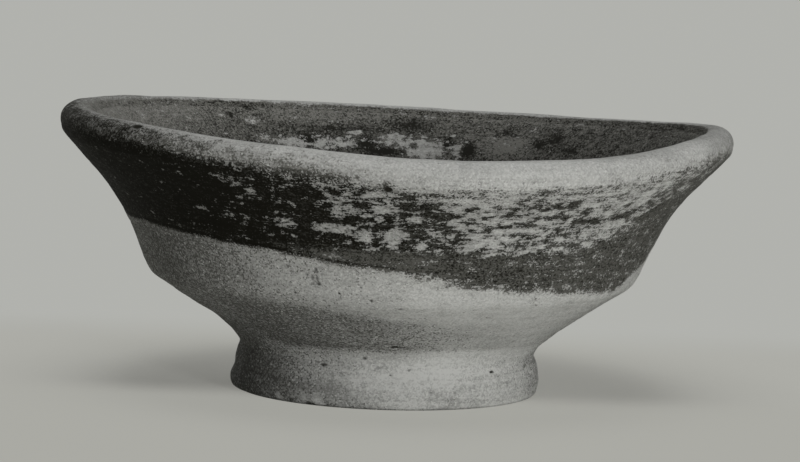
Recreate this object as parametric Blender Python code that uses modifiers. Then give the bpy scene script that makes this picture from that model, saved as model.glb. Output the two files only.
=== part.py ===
"""Footed bowl: a thrown clay bowl luted onto a turned ring foot, with dark slip inside and out.

Units are metres and +Z is up. The origin is on the turning axis, in the plane that the foot rests on.
The front of the bowl faces -Y, and its right side +X.

Every piece is turned from one master outline, so the outside runs on smoothly from piece to piece.
The outline starts on the axis at the bowl's floor, climbs the inside, crosses the lip and comes down
the outside to the foot's resting edge.
"""

import math

import bpy
from mathutils import Matrix, Vector

MM = 0.001

# Clearance between pieces that touch on the real pot
SEAT_GAP = 0.3 * MM

# Ring foot: its height, its widest corner, how far the side draws in below and above that corner,
# and the ring's width at base and top
FOOT_HEIGHT = 11.0 * MM
FOOT_RADIUS = 34.8 * MM
FOOT_WIDEST_HEIGHT = 3.6 * MM
FOOT_BASE_TUCK = 1.1 * MM
NECK_TUCK = 1.4 * MM
FOOT_BASE_WIDTH = 8.0 * MM
FOOT_TOP_WIDTH = 9.5 * MM
FOOT_WIDEST_ROUND = 6.0 * MM
FOOT_EDGE_ROUND = 1.0 * MM

# Luting slip: the ring of clay between the foot and the bowl, set back a little inside the foot's bore
LUTING_THICKNESS = 1.0 * MM
LUTING_SETBACK = 0.6 * MM

# Thrown bowl: outer corners of the wall above the neck, each height measured up from the corner below it
SHOULDER_RADIUS = 54.8 * MM
SHOULDER_RISE = 14.1 * MM
FLARE_RADIUS = 61.5 * MM
FLARE_RISE = 15.3 * MM
RIM_RADIUS = 75.2 * MM
RIM_RISE = 19.0 * MM
LIP_DEPTH = 5.1 * MM

# Thrown bowl: thicknesses
FLOOR_THICKNESS = 6.0 * MM
WALL_THICKNESS = 6.2 * MM
LIP_THICKNESS = 7.6 * MM

# Thrown bowl: radii of the rounded corners
NECK_ROUND = 5.5 * MM
SHOULDER_ROUND = 8.0 * MM
FLARE_ROUND = 44.0 * MM
LIP_UNDER_ROUND = 4.0 * MM
LIP_OUTER_ROUND = 3.5 * MM
LIP_INNER_ROUND = 3.0 * MM
INNER_FLARE_ROUND = 50.0 * MM
INNER_SHOULDER_ROUND = 14.0 * MM
FLOOR_ROUND = 25.0 * MM

# Kiln warp: the rim sags to its right and bends like a saddle, with its front and back low
RIM_LEAN = 0.9 * MM
RIM_SADDLE = 1.8 * MM

# Slip coats: thickness, how far below the lip each one starts, and the tilted line of the outer dip
COAT_THICKNESS = 0.4 * MM
OUTER_COAT_DROP = 5.6 * MM
INNER_COAT_DROP = 2.6 * MM
DIP_RISE = 20.8 * MM
DIP_TILT = math.radians(6.0)
DIP_BEARING = math.radians(-15.0)

# Fineness of the turned surfaces
TURN_STEPS = 56
ARC_ERROR = 0.05 * MM
MERGE_DISTANCE = 0.01 * MM
SHARP_ANGLE = math.radians(40.0)

# Heights and radii that follow from the sizes above
JOINT_THICKNESS = LUTING_THICKNESS + 2.0 * SEAT_GAP
SEAT_HEIGHT = FOOT_HEIGHT + JOINT_THICKNESS
NECK_HEIGHT = FOOT_HEIGHT + JOINT_THICKNESS / 2.0
SHOULDER_HEIGHT = NECK_HEIGHT + SHOULDER_RISE
FLARE_HEIGHT = SHOULDER_HEIGHT + FLARE_RISE
RIM_HEIGHT = FLARE_HEIGHT + RIM_RISE
FLOOR_HEIGHT = SEAT_HEIGHT + FLOOR_THICKNESS
DIP_HEIGHT = SEAT_HEIGHT + DIP_RISE
FOOT_BASE_RADIUS = FOOT_RADIUS - FOOT_BASE_TUCK
NECK_RADIUS = FOOT_RADIUS - NECK_TUCK
FOOT_BASE_BORE = FOOT_BASE_RADIUS - FOOT_BASE_WIDTH
FOOT_TOP_BORE = NECK_RADIUS - FOOT_TOP_WIDTH

# Colours, as linear RGB, and roughness of the bare clay and of the dark slip
CLAY_COLOUR = (0.37, 0.36, 0.33)
FOOT_COLOUR = (0.34, 0.33, 0.30)
LUTING_COLOUR = (0.30, 0.29, 0.26)
OUTER_SLIP_COLOUR = (0.030, 0.029, 0.025)
INNER_SLIP_COLOUR = (0.075, 0.073, 0.066)
CLAY_ROUGHNESS = 0.85
SLIP_ROUGHNESS = 0.55


def clear_scene():
    """Remove every object that is already in the scene."""
    for old in list(bpy.data.objects):
        bpy.data.objects.remove(old, do_unlink=True)


def new_collection(name):
    """An empty collection, linked to the scene."""
    collection = bpy.data.collections.new(name)
    bpy.context.scene.collection.children.link(collection)
    return collection


def left_of(direction):
    """The unit direction that lies to the left of a direction in the outline's plane."""
    return Vector((-direction.y, direction.x)).normalized()


def shifted(start, end, distance):
    """A straight run moved sideways, to its left, by a distance."""
    step = left_of(end - start) * distance
    return start + step, end + step


def crossing(first, second):
    """The point where two straight runs cross, each carried on as far as it needs."""
    along = first[1] - first[0]
    across = second[1] - second[0]
    share = (second[0] - first[0]).cross(across) / along.cross(across)
    return first[0] + along * share


def corner_turns(corners):
    """The signed turn of the path at each of its inner corners, anticlockwise positive."""
    turns = []
    for (before, _), (here, _), (after, _) in zip(corners, corners[1:], corners[2:]):
        arriving = here - before
        leaving = after - here
        turns.append(math.atan2(arriving.cross(leaving), arriving.dot(leaving)))
    return turns


def corner_reaches(corners, turns):
    """How far each corner's arc runs along its sides, cut back where two arcs would meet."""
    wanted = [radius * math.tan(abs(turn) / 2.0) for (_, radius), turn in zip(corners[1:-1], turns)]
    wanted = [0.0, *wanted, 0.0]
    lengths = [(after - here).length for (here, _), (after, _) in zip(corners, corners[1:])]
    shares = [min(1.0, length / max(left + right, MERGE_DISTANCE))
              for length, left, right in zip(lengths, wanted, wanted[1:])]
    return [reach * min(before, after) for reach, before, after in zip(wanted[1:-1], shares, shares[1:])]


def corner_arc(before, here, turn, reach):
    """Points of the arc that rounds one corner, touching both sides at a reach from the corner."""
    radius = reach / math.tan(abs(turn) / 2.0)
    start = here + (before - here).normalized() * reach
    centre = start + left_of(here - before) * math.copysign(radius, turn)
    widest_step = 2.0 * math.acos(1.0 - ARC_ERROR / max(radius, 2.0 * ARC_ERROR))
    count = max(1, math.ceil(abs(turn) / widest_step))
    spoke = start - centre
    return [centre + Matrix.Rotation(turn * step / count, 2) @ spoke for step in range(count + 1)]


def rounded_path(corners):
    """Points along straight runs between (point, radius) corners, each inner corner rounded by an arc."""
    turns = corner_turns(corners)
    reaches = corner_reaches(corners, turns)
    points = [corners[0][0]]
    for (before, _), (here, _), turn, reach in zip(corners, corners[1:-1], turns, reaches):
        points.extend(corner_arc(before, here, turn, reach))
    points.append(corners[-1][0])
    return [point for index, point in enumerate(points)
            if index == 0 or (point - points[index - 1]).length > MERGE_DISTANCE]


def master_outline():
    """The inner and the outer side of the whole pot, as two lists of (radius, height) points.

    The inside is the outside's corners moved in by the wall's thickness. The inner side runs from the
    axis up to the lip, and the outer side from the lip down to the foot's resting edge.
    """
    neck = Vector((NECK_RADIUS, NECK_HEIGHT))
    shoulder = Vector((SHOULDER_RADIUS, SHOULDER_HEIGHT))
    flare = Vector((FLARE_RADIUS, FLARE_HEIGHT))
    lip_under = Vector((RIM_RADIUS, RIM_HEIGHT - LIP_DEPTH))
    lip_outer = Vector((RIM_RADIUS, RIM_HEIGHT))
    axis_floor = Vector((0.0, FLOOR_HEIGHT))
    floor_run = (axis_floor, Vector((NECK_RADIUS, FLOOR_HEIGHT)))
    lip_run = (Vector((0.0, RIM_HEIGHT)), lip_outer)
    lower_run = shifted(neck, shoulder, WALL_THICKNESS)
    upper_run = shifted(shoulder, flare, WALL_THICKNESS)
    flare_run = shifted(flare, lip_under, LIP_THICKNESS)
    outline = rounded_path([
        (axis_floor, 0.0),
        (crossing(floor_run, lower_run), FLOOR_ROUND),
        (crossing(lower_run, upper_run), INNER_SHOULDER_ROUND),
        (crossing(upper_run, flare_run), INNER_FLARE_ROUND),
        (crossing(flare_run, lip_run), LIP_INNER_ROUND),
        (lip_outer, LIP_OUTER_ROUND),
        (lip_under, LIP_UNDER_ROUND),
        (flare, FLARE_ROUND),
        (shoulder, SHOULDER_ROUND),
        (neck, NECK_ROUND),
        (Vector((FOOT_RADIUS, FOOT_WIDEST_HEIGHT)), FOOT_WIDEST_ROUND),
        (Vector((FOOT_BASE_RADIUS, 0.0)), FOOT_EDGE_ROUND),
        (Vector((FOOT_BASE_BORE, 0.0)), 0.0),
    ])
    crest = max(range(len(outline)), key=lambda index: outline[index].y)
    return outline[:crest + 1], outline[crest:-1]


def at_height(path, height):
    """The point where a falling path passes a height."""
    for start, end in zip(path, path[1:]):
        if start.y >= height >= end.y and start.y > end.y:
            return start.lerp(end, (start.y - height) / (start.y - end.y))
    return path[0] if height > path[0].y else path[-1]


def stretch(path, high, low):
    """The part of a falling path between two heights, with a point at each of them."""
    inside = [point for point in path if low + MERGE_DISTANCE < point.y < high - MERGE_DISTANCE]
    return [at_height(path, high), *inside, at_height(path, low)]


def beside(path, distance):
    """A path moved sideways, to its left, by a distance that holds along every straight run."""
    runs = [left_of(end - start) for start, end in zip(path, path[1:])]
    moved = []
    for point, before, after in zip(path, [runs[0], *runs], [*runs, runs[-1]]):
        moved.append(point + (before + after) * (distance / (1.0 + before.dot(after))))
    return moved


def make_solid(piece):
    """Turn a piece's modifiers into a mesh that is shaded smooth, with its real edges kept sharp."""
    graph = bpy.context.evaluated_depsgraph_get()
    mesh = bpy.data.meshes.new_from_object(piece.evaluated_get(graph))
    profile = piece.data
    piece.modifiers.clear()
    piece.data = mesh
    bpy.data.meshes.remove(profile)
    mesh.name = piece.name
    mesh.shade_smooth()
    mesh.set_sharp_from_angle(angle=SHARP_ANGLE)


def turned(name, profile, closed, collection):
    """A profile turned once round the Z axis. A closed profile is a ring that doesn't reach the axis."""
    edges = [(index, index + 1) for index in range(len(profile) - 1)]
    if closed:
        edges.append((len(profile) - 1, 0))
    mesh = bpy.data.meshes.new(name)
    mesh.from_pydata([(point.x, 0.0, point.y) for point in profile], edges, [])
    piece = bpy.data.objects.new(name, mesh)
    collection.objects.link(piece)
    screw = piece.modifiers.new("Turn", "SCREW")
    screw.axis = "Z"
    screw.angle = math.tau
    screw.steps = TURN_STEPS
    screw.render_steps = TURN_STEPS
    screw.use_merge_vertices = True
    screw.merge_threshold = MERGE_DISTANCE
    make_solid(piece)
    return piece


def kiln_rise(place):
    """How far firing lifted a point of the bowl: nothing at its seat, all of it at the rim."""
    share = max(0.0, (place.z - SEAT_HEIGHT) / (RIM_HEIGHT - SEAT_HEIGHT))
    across = place.x / RIM_RADIUS
    away = place.y / RIM_RADIUS
    return share * (RIM_SADDLE * (across ** 2 - away ** 2) - RIM_LEAN * across)


def fire_in_kiln(piece):
    """Warp a piece's mesh as the kiln warped the bowl."""
    for vertex in piece.data.vertices:
        vertex.co.z += kiln_rise(vertex.co)


def finish(piece, colour, roughness):
    """Give a piece its own plain material."""
    material = bpy.data.materials.new(piece.name)
    material.use_nodes = True
    shader = material.node_tree.nodes["Principled BSDF"]
    shader.inputs["Base Color"].default_value = (*colour, 1.0)
    shader.inputs["Roughness"].default_value = roughness
    shader.inputs["Metallic"].default_value = 0.0
    material.diffuse_color = (*colour, 1.0)
    piece.data.materials.clear()
    piece.data.materials.append(material)


def make_ring_foot(outer, collection):
    """The turned ring foot, open underneath, with a flat resting ring and a slightly tapered bore."""
    side = stretch(outer, FOOT_HEIGHT, 0.0)
    bore = [Vector((FOOT_BASE_BORE, 0.0)), Vector((FOOT_TOP_BORE, FOOT_HEIGHT))]
    foot = turned("ring_foot", [*side, *bore], True, collection)
    finish(foot, FOOT_COLOUR, CLAY_ROUGHNESS)


def make_luting_slip(outer, collection):
    """The ring of slip between foot and bowl, its outer edge flush with the neck."""
    top = SEAT_HEIGHT - SEAT_GAP
    bottom = FOOT_HEIGHT + SEAT_GAP
    bore = FOOT_TOP_BORE + LUTING_SETBACK
    inside = [Vector((bore, bottom)), Vector((bore, top))]
    luting = turned("luting_slip", [*stretch(outer, top, bottom), *inside], True, collection)
    finish(luting, LUTING_COLOUR, CLAY_ROUGHNESS)


def make_thrown_bowl(inner, outer, collection):
    """The bowl, from its floor over the lip to the flat seat under it."""
    outside = stretch(outer, outer[0].y, SEAT_HEIGHT)
    seat_centre = Vector((0.0, SEAT_HEIGHT))
    bowl = turned("thrown_bowl", [*inner, *outside[1:], seat_centre], False, collection)
    fire_in_kiln(bowl)
    finish(bowl, CLAY_COLOUR, CLAY_ROUGHNESS)


def thicken(piece):
    """Give a coat its thickness, away from the wall that it lies on."""
    skin = piece.modifiers.new("Coat", "SOLIDIFY")
    skin.thickness = COAT_THICKNESS
    skin.offset = 1.0
    skin.use_even_offset = True


def make_dip_block(collection):
    """The space below the tilted surface of the slip bath, where the outside stayed bare."""
    width = 4.0 * RIM_RADIUS
    depth = 2.0 * RIM_RADIUS
    tilt_axis = Vector((-math.sin(DIP_BEARING), math.cos(DIP_BEARING), 0.0))
    turn = Matrix.Rotation(DIP_TILT, 4, tilt_axis)
    bpy.ops.mesh.primitive_cube_add(size=1.0)
    block = bpy.context.object
    block.name = "dip_block"
    block.data.transform(Matrix.Diagonal((width, width, depth, 1.0)))
    block.matrix_world = (Matrix.Translation((0.0, 0.0, DIP_HEIGHT)) @ turn
                          @ Matrix.Translation((0.0, 0.0, -depth / 2.0)))
    for old in list(block.users_collection):
        old.objects.unlink(block)
    collection.objects.link(block)
    block.hide_render = True
    block.display_type = "WIRE"
    return block


def make_outer_slip_coat(outer, block, collection):
    """The dark band outside, from under the lip down to the tilted dip line."""
    lowest = DIP_HEIGHT - RIM_RADIUS * math.tan(DIP_TILT)
    band = stretch(outer, RIM_HEIGHT - OUTER_COAT_DROP, max(lowest, SEAT_HEIGHT))
    coat = turned("outer_slip_coat", beside(band, SEAT_GAP), False, collection)
    fire_in_kiln(coat)
    thicken(coat)
    dip = coat.modifiers.new("Dip line", "BOOLEAN")
    dip.operation = "DIFFERENCE"
    dip.solver = "EXACT"
    dip.object = block
    finish(coat, OUTER_SLIP_COLOUR, SLIP_ROUGHNESS)


def make_inner_slip_coat(inner, collection):
    """The dark lining, from the middle of the floor up the wall to just inside the lip."""
    falling = list(reversed(inner))
    lining = stretch(falling, RIM_HEIGHT - INNER_COAT_DROP, FLOOR_HEIGHT)
    lining = [inner[0], *reversed(lining)]
    coat = turned("inner_slip_coat", beside(lining, SEAT_GAP), False, collection)
    fire_in_kiln(coat)
    thicken(coat)
    finish(coat, INNER_SLIP_COLOUR, SLIP_ROUGHNESS)


def main():
    """Build the pot piece by piece, from the foot up."""
    clear_scene()
    pot = new_collection("footed_bowl")
    cutters = new_collection("footed_bowl_cutters")
    inner, outer = master_outline()
    make_ring_foot(outer, pot)
    make_luting_slip(outer, pot)
    make_thrown_bowl(inner, outer, pot)
    make_outer_slip_coat(outer, make_dip_block(cutters), pot)
    make_inner_slip_coat(inner, pot)


main()
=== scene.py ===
"""A worn earthenware bowl on a ring foot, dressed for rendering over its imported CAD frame.

Sizes of the pot are millimetres, and bearings are degrees round it from its front, positive to its right.
Meshes, heights of bumps, the studio and the camera's place are metres, in the frame of the CAD model: +Z is
up, the front faces -Y and the right side +X.

Every piece is turned from one master outline, which starts on the axis at the bowl's floor, climbs the
inside, crosses the lip and comes down the outside to the foot's resting edge. The clay's unevenness, the
kiln's warp and the wear of the slip are fields over the pot's surface, so they run on from piece to piece.
"""

import logging
import math
from dataclasses import dataclass
from enum import Enum, IntEnum

import bpy
import numpy as np
from mathutils import Matrix, Vector


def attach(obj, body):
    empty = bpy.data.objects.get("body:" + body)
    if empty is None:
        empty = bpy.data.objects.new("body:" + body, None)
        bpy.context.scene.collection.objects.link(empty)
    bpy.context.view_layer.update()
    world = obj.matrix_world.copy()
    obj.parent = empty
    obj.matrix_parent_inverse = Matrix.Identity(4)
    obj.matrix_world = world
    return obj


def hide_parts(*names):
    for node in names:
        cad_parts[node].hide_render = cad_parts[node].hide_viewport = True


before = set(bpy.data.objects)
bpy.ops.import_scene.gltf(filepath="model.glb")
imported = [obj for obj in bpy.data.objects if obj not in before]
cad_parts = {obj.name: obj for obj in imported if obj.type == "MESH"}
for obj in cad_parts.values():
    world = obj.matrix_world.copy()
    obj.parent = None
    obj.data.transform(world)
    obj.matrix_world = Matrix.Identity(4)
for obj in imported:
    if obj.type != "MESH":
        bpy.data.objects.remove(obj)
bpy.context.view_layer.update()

LOG = logging.getLogger("footed_bowl")
MILLIMETRE = 0.001

Array = np.ndarray
Colour = tuple[float, float, float]
Limits = tuple[float, float]
Knots = tuple[tuple[float, float], ...]
Socket = bpy.types.NodeSocket

ARC_POINTS = 33
HASH_FACTORS = np.array([0x9E3779B1, 0x85EBCA77, 0xC2B2AE3D], dtype=np.uint32)
HASH_ROUNDS = ((15, np.uint32(0x2C1B3C6D)), (12, np.uint32(0x297A2D39)), (15, np.uint32(1)))
HASH_TOP = np.uint32(0xFFFF)
SEED_START = 97
SEED_STEP = 2654435


class SurfaceField(Enum):
    """Fields over the pot's surface that the materials read as point attributes."""

    COVER = "slip_cover"
    RUB = "slip_rub"
    THIN = "slip_thin"
    # Dark grains, with painted shade on the left side, under the shoulder and at the resting edge.
    GRIME = "clay_grime"
    # Changes of the clay's tone: mostly painted shade and light, and a pale smear.
    SHADE = "clay_shade"
    MARK = "dark_mark"


class RowEnds(Enum):
    """How a grid's rows end: both shrunk to a point on the axis, or the last joined to the first."""

    POLES = "poles"
    LOOP = "loop"


class NoiseSeed(IntEnum):
    """The random fields, with the number that picks each one. A layered field takes the next number too."""

    RIDGES = 1
    LUMPS = 3
    GRIT = 5
    NICKS = 7
    DIP = 11


def smooth_step(value: Array) -> Array:
    """Ease from 0 to 1 as a value goes from 0 to 1: 3 v^2 - 2 v^3, held at both ends."""
    share = np.clip(value, 0.0, 1.0)
    return share * share * (3.0 - 2.0 * share)


def crossed(distance: Array, width: Array | float) -> Array:
    """Ease from 0 to 1 across a line: a smooth step of distance / width + 1/2."""
    return smooth_step(distance / width + 0.5)


def mix(first: Array | float, second: Array | float, share: Array) -> Array:
    """Go from one value towards another by a share: first + (second - first) * share."""
    return first + (second - first) * share


def turned_from(bearing: Array, middle: float) -> Array:
    """Measure bearings from a middle one, from -180 to 180 degrees."""
    return (bearing - middle + 180.0) % 360.0 - 180.0


def turn_round(bearing: Array, outwards: Array, upwards: Array) -> Array:
    """Turn vectors to their bearings b: (o sin b, -o cos b, u) for outward parts o and upward parts u."""
    turn = np.radians(bearing)
    return np.stack([outwards * np.sin(turn), -outwards * np.cos(turn), upwards], axis=-1)


def round_the_pot(bearing: Array, knots: Knots) -> Array:
    """Read a value that changes smoothly round the pot.

    Between two knots the value eases from one to the other by a smooth step of the bearing's share of
    the gap, and the last knot eases on into the first.

    Args:
        bearing: Bearings in degrees.
        knots: Pairs of bearing and value, in rising order of bearing within one turn.

    Returns:
        The value at each bearing.
    """
    places = np.array([knot[0] for knot in knots])
    values = np.array([knot[1] for knot in knots])
    turned = (bearing - places[0]) % 360.0 + places[0]
    places = np.append(places, places[0] + 360.0)
    values = np.append(values, values[0])
    index = np.clip(np.searchsorted(places, turned, side="right") - 1, 0, len(knots) - 1)
    share = (turned - places[index]) / (places[index + 1] - places[index])
    return mix(values[index], values[index + 1], smooth_step(share))


def lattice_noise(places: Array, seed: int) -> Array:
    """Evaluate a smooth random field from -1 to 1.

    Every corner of the unit lattice has a hashed value, and a point blends its cell's eight corners with
    the products of smooth-stepped shares along the three axes.

    Args:
        places: Points as an array whose last axis is x, y and z, in lattice cells.
        seed: Number that picks one field among many.

    Returns:
        The field's value at each point.
    """
    cells = np.floor(places).astype(np.int64)
    shares = smooth_step(places - cells)
    total = np.zeros(places.shape[:-1])
    for corner in np.ndindex(2, 2, 2):
        weight = np.prod(np.where(np.array(corner) == 1, shares, 1.0 - shares), axis=-1)
        keys = (cells + corner).astype(np.uint32) * HASH_FACTORS
        mixed = keys[..., 0] ^ keys[..., 1] ^ keys[..., 2] ^ np.uint32(seed * SEED_STEP + SEED_START)
        for shift, factor in HASH_ROUNDS:
            mixed = (mixed ^ (mixed >> shift)) * factor
        total += weight * ((mixed & HASH_TOP) / (HASH_TOP / 2.0) - 1.0)
    return total


def layered_noise(places: Array, seed: int, finer: float | Colour, share: float) -> Array:
    """Add a finer, weaker layer, of the next seed, to a field: noise(p) + share * noise(finer * p)."""
    return lattice_noise(places, seed) + share * lattice_noise(places * finer, seed + 1)


def rounded_path(corners: Array, rounds: Array, step: float) -> Array:
    """Walk along straight runs whose inner corners are rounded by arcs.

    An arc touches both of its sides at a reach of radius * tan(turn / 2), cut back where two arcs would
    meet. Its points are its centre plus its first spoke, turned by even shares of the corner's turn.

    Args:
        corners: Corner points as rows of radius and height.
        rounds: Arc radius at each inner corner.
        step: Length of the even steps that the walk is cut into.

    Returns:
        Points along the walk as rows of radius and height.
    """
    runs = np.diff(corners, axis=0)
    lengths = np.hypot(runs[:, 0], runs[:, 1])
    ways = runs / lengths[:, None]
    arriving, leaving = ways[:-1], ways[1:]
    turns = np.arctan2(arriving[:, 0] * leaving[:, 1] - arriving[:, 1] * leaving[:, 0],
                       (arriving * leaving).sum(axis=1))
    wanted = np.concatenate(([0.0], rounds * np.tan(np.abs(turns) / 2.0), [0.0]))
    shares = np.minimum(1.0, lengths / np.maximum(wanted[:-1] + wanted[1:], step))
    reaches = wanted[1:-1] * np.minimum(shares[:-1], shares[1:])
    radii = np.sign(turns) * reaches / np.tan(np.abs(turns) / 2.0)
    starts = corners[1:-1] - arriving * reaches[:, None]
    spokes = np.stack([arriving[:, 1], -arriving[:, 0]], axis=1) * radii[:, None]
    angles = turns[:, None] * np.linspace(0.0, 1.0, ARC_POINTS)
    cosine, sine = np.cos(angles), np.sin(angles)
    arcs = np.stack([cosine * spokes[:, :1] - sine * spokes[:, 1:],
                     sine * spokes[:, :1] + cosine * spokes[:, 1:]], axis=2)
    arcs += (starts - spokes)[:, None, :]
    walk = np.concatenate((corners[:1], arcs.reshape(-1, 2), corners[-1:]))
    travelled = path_lengths(walk)
    even = np.linspace(0.0, travelled[-1], math.ceil(travelled[-1] / step) + 1)
    return np.stack([np.interp(even, travelled, walk[:, axis]) for axis in range(2)], axis=1)


def path_lengths(walk: Array) -> Array:
    """Give the length walked to each point: the running sum of the steps between points."""
    steps = np.diff(walk, axis=0)
    return np.concatenate(([0.0], np.cumsum(np.hypot(steps[:, 0], steps[:, 1]))))


@dataclass(frozen=True)
class PotSizes:
    """Driving sizes of the pot, the same as in the part's source, and the step of its outline."""

    foot_height: float = 11.0
    foot_radius: float = 34.8
    foot_widest_height: float = 3.6
    foot_base_tuck: float = 1.1
    neck_tuck: float = 1.4
    foot_base_width: float = 8.0
    foot_top_width: float = 9.5
    joint_thickness: float = 1.6
    shoulder_radius: float = 54.8
    shoulder_rise: float = 14.1
    flare_radius: float = 61.5
    flare_rise: float = 15.3
    rim_radius: float = 75.2
    rim_rise: float = 19.0
    lip_depth: float = 5.1
    floor_thickness: float = 6.0
    wall_thickness: float = 6.2
    lip_thickness: float = 7.6
    floor_round: float = 25.0
    inner_shoulder_round: float = 14.0
    inner_flare_round: float = 50.0
    lip_inner_round: float = 3.0
    lip_outer_round: float = 3.5
    lip_under_round: float = 4.0
    flare_round: float = 44.0
    shoulder_round: float = 8.0
    neck_round: float = 5.5
    foot_widest_round: float = 6.0
    foot_edge_round: float = 1.0
    path_step: float = 0.05

    @property
    def seat_height(self) -> float:
        """Height of the bowl's flat seat over the luting ring."""
        return self.foot_height + self.joint_thickness

    @property
    def neck_height(self) -> float:
        """Height of the middle of the neck."""
        return self.foot_height + self.joint_thickness / 2.0

    @property
    def rim_height(self) -> float:
        """Height of the lip before firing."""
        return self.neck_height + self.shoulder_rise + self.flare_rise + self.rim_rise

    @property
    def neck_radius(self) -> float:
        """Radius of the neck."""
        return self.foot_radius - self.neck_tuck

    @property
    def base_bore(self) -> float:
        """Radius of the foot's bore at its resting edge."""
        return self.foot_radius - self.foot_base_tuck - self.foot_base_width

    @property
    def top_bore(self) -> float:
        """Radius of the foot's bore at its top."""
        return self.neck_radius - self.foot_top_width


class Outline:
    """A path of radius and height, read by the length walked along it.

    The side that faces away from the clay lies to the left of the walk.
    """

    def __init__(self, points: Array) -> None:
        """Measure a path.

        Args:
            points: Rows of radius and height, close together.
        """
        self.points = points
        self.stations = path_lengths(points)
        along = np.gradient(points, self.stations, axis=0)
        along /= np.hypot(along[:, 0], along[:, 1])[:, None]
        self.facing = np.stack([-along[:, 1], along[:, 0]], axis=1)

    @property
    def end(self) -> float:
        """Length of the whole path."""
        return float(self.stations[-1])

    def read(self, table: Array, stations: Array) -> tuple[Array, Array]:
        """Read both columns of a table along the path, by linear shares between its points."""
        return (np.interp(stations, self.stations, table[:, 0]),
                np.interp(stations, self.stations, table[:, 1]))


class MasterOutline(Outline):
    """The pot's whole outline, from the middle of the floor over the lip to the foot's bore."""

    def __init__(self, sizes: PotSizes) -> None:
        """Lay out the outline's corners and round them.

        The inside's runs are the outside's runs moved in by the wall's thickness, and its corners are
        where those runs cross.

        Args:
            sizes: The pot's driving sizes.
        """
        neck = np.array([sizes.neck_radius, sizes.neck_height])
        shoulder = np.array([sizes.shoulder_radius, neck[1] + sizes.shoulder_rise])
        flare = np.array([sizes.flare_radius, shoulder[1] + sizes.flare_rise])
        lip_outer = np.array([sizes.rim_radius, sizes.rim_height])
        lip_under = lip_outer - (0.0, sizes.lip_depth)
        floor = np.array([0.0, sizes.seat_height + sizes.floor_thickness])
        level = np.array([1.0, 0.0])
        lower = self._moved_in(neck, shoulder, sizes.wall_thickness)
        upper = self._moved_in(shoulder, flare, sizes.wall_thickness)
        flared = self._moved_in(flare, lip_under, sizes.lip_thickness)
        corners = np.array([
            floor,
            self._crossing((floor, level), lower),
            self._crossing(lower, upper),
            self._crossing(upper, flared),
            self._crossing(flared, (lip_outer, level)),
            lip_outer,
            lip_under,
            flare,
            shoulder,
            neck,
            (sizes.foot_radius, sizes.foot_widest_height),
            (sizes.foot_radius - sizes.foot_base_tuck, 0.0),
            (sizes.base_bore, 0.0),
        ])
        rounds = np.array([
            sizes.floor_round,
            sizes.inner_shoulder_round,
            sizes.inner_flare_round,
            sizes.lip_inner_round,
            sizes.lip_outer_round,
            sizes.lip_under_round,
            sizes.flare_round,
            sizes.shoulder_round,
            sizes.neck_round,
            sizes.foot_widest_round,
            sizes.foot_edge_round,
        ])
        super().__init__(rounded_path(corners, rounds, sizes.path_step))
        heights = self.points[:, 1]
        self.crest = float(self.stations[heights > heights.max() - sizes.path_step / 10.0].mean())

    @staticmethod
    def _moved_in(start: Array, end: Array, distance: float) -> tuple[Array, Array]:
        """Move a straight run to its left: a point on it, and its direction."""
        way = (end - start) / np.hypot(*(end - start))
        return start + distance * np.array([-way[1], way[0]]), way

    @staticmethod
    def _crossing(first: tuple[Array, Array], second: tuple[Array, Array]) -> Array:
        """Find where two runs cross, each given as a point and a direction."""
        shares = np.linalg.solve(np.stack([first[1], -second[1]], axis=1), second[0] - first[0])
        return first[0] + first[1] * shares[0]

    def outside(self, height: Array) -> Array:
        """Find the stations where the outside passes a height."""
        beyond = self.stations >= self.crest
        return np.interp(-np.asarray(height), -self.points[beyond, 1], self.stations[beyond])

    def inside(self, height: Array) -> Array:
        """Find the stations where the inside passes a height above its floor."""
        before = self.stations <= self.crest
        return np.interp(np.asarray(height), self.points[before, 1], self.stations[before])


@dataclass(frozen=True)
class RimWave:
    """One wave of the rim's warp: how many times it rises in a turn, how high, and at what bearing."""

    order: int
    height: float
    bearing: float


@dataclass(frozen=True)
class RimSag:
    """A place where the rim sank or rose in firing: its bearing, half its width in degrees, and the rise."""

    bearing: float
    half_width: float
    rise: float


@dataclass(frozen=True)
class KilnWarp:
    """How firing moved the bowl: nothing at its seat, and all of it at the rim."""

    seat: float = 13.0
    rim: float = 60.2
    rim_radius: float = 75.0
    drift: float = 0.45
    foot_shift: float = -0.68
    foot_top: float = 10.8
    foot_ease: float = 2.5
    waves: tuple[RimWave, ...] = (
        RimWave(1, 0.88, -88.0),
        RimWave(2, 1.85, 87.7),
        RimWave(3, 0.58, 74.5),
        RimWave(4, 0.18, 69.1),
    )
    sags: tuple[RimSag, ...] = (
        RimSag(48.0, 19.0, -1.0),
        RimSag(-10.0, 20.0, 0.3),
    )

    def fire(self, bearing: Array, places: Array) -> Array:
        """Warp points of the pot.

        A point rises by the sum of height * cos(order * (bearing - wave's bearing)) and of the sags, each
        falling off as exp(-d^2) from its middle. It also drifts to the right. Both are in proportion to its
        share of the way from seat to rim, and the rise also grows with the point's distance from the axis.
        The foot sits a little to the left, by a smooth step below the neck.

        Args:
            bearing: Bearings of the points, in degrees.
            places: Points as turned.

        Returns:
            Points as fired.
        """
        share = np.clip((places[..., 2] - self.seat) / (self.rim - self.seat), 0.0, 1.0)
        reach = np.hypot(places[..., 0], places[..., 1]) / self.rim_radius
        rise = sum(wave.height * np.cos(np.radians(wave.order * (bearing - wave.bearing)))
                   for wave in self.waves)
        for sag in self.sags:
            rise = rise + sag.rise * np.exp(-(turned_from(bearing, sag.bearing) / sag.half_width) ** 2)
        fired = places.copy()
        fired[..., 0] += share * self.drift
        fired[..., 0] += self.foot_shift * smooth_step((self.foot_top - places[..., 2]) / self.foot_ease)
        fired[..., 2] += share * reach * rise
        return fired


@dataclass(frozen=True)
class Patch:
    """A place on the wall where a field changes: its middle, half sizes, and the change."""

    bearing: float
    height: float
    half_width: float
    half_height: float
    change: float


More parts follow.
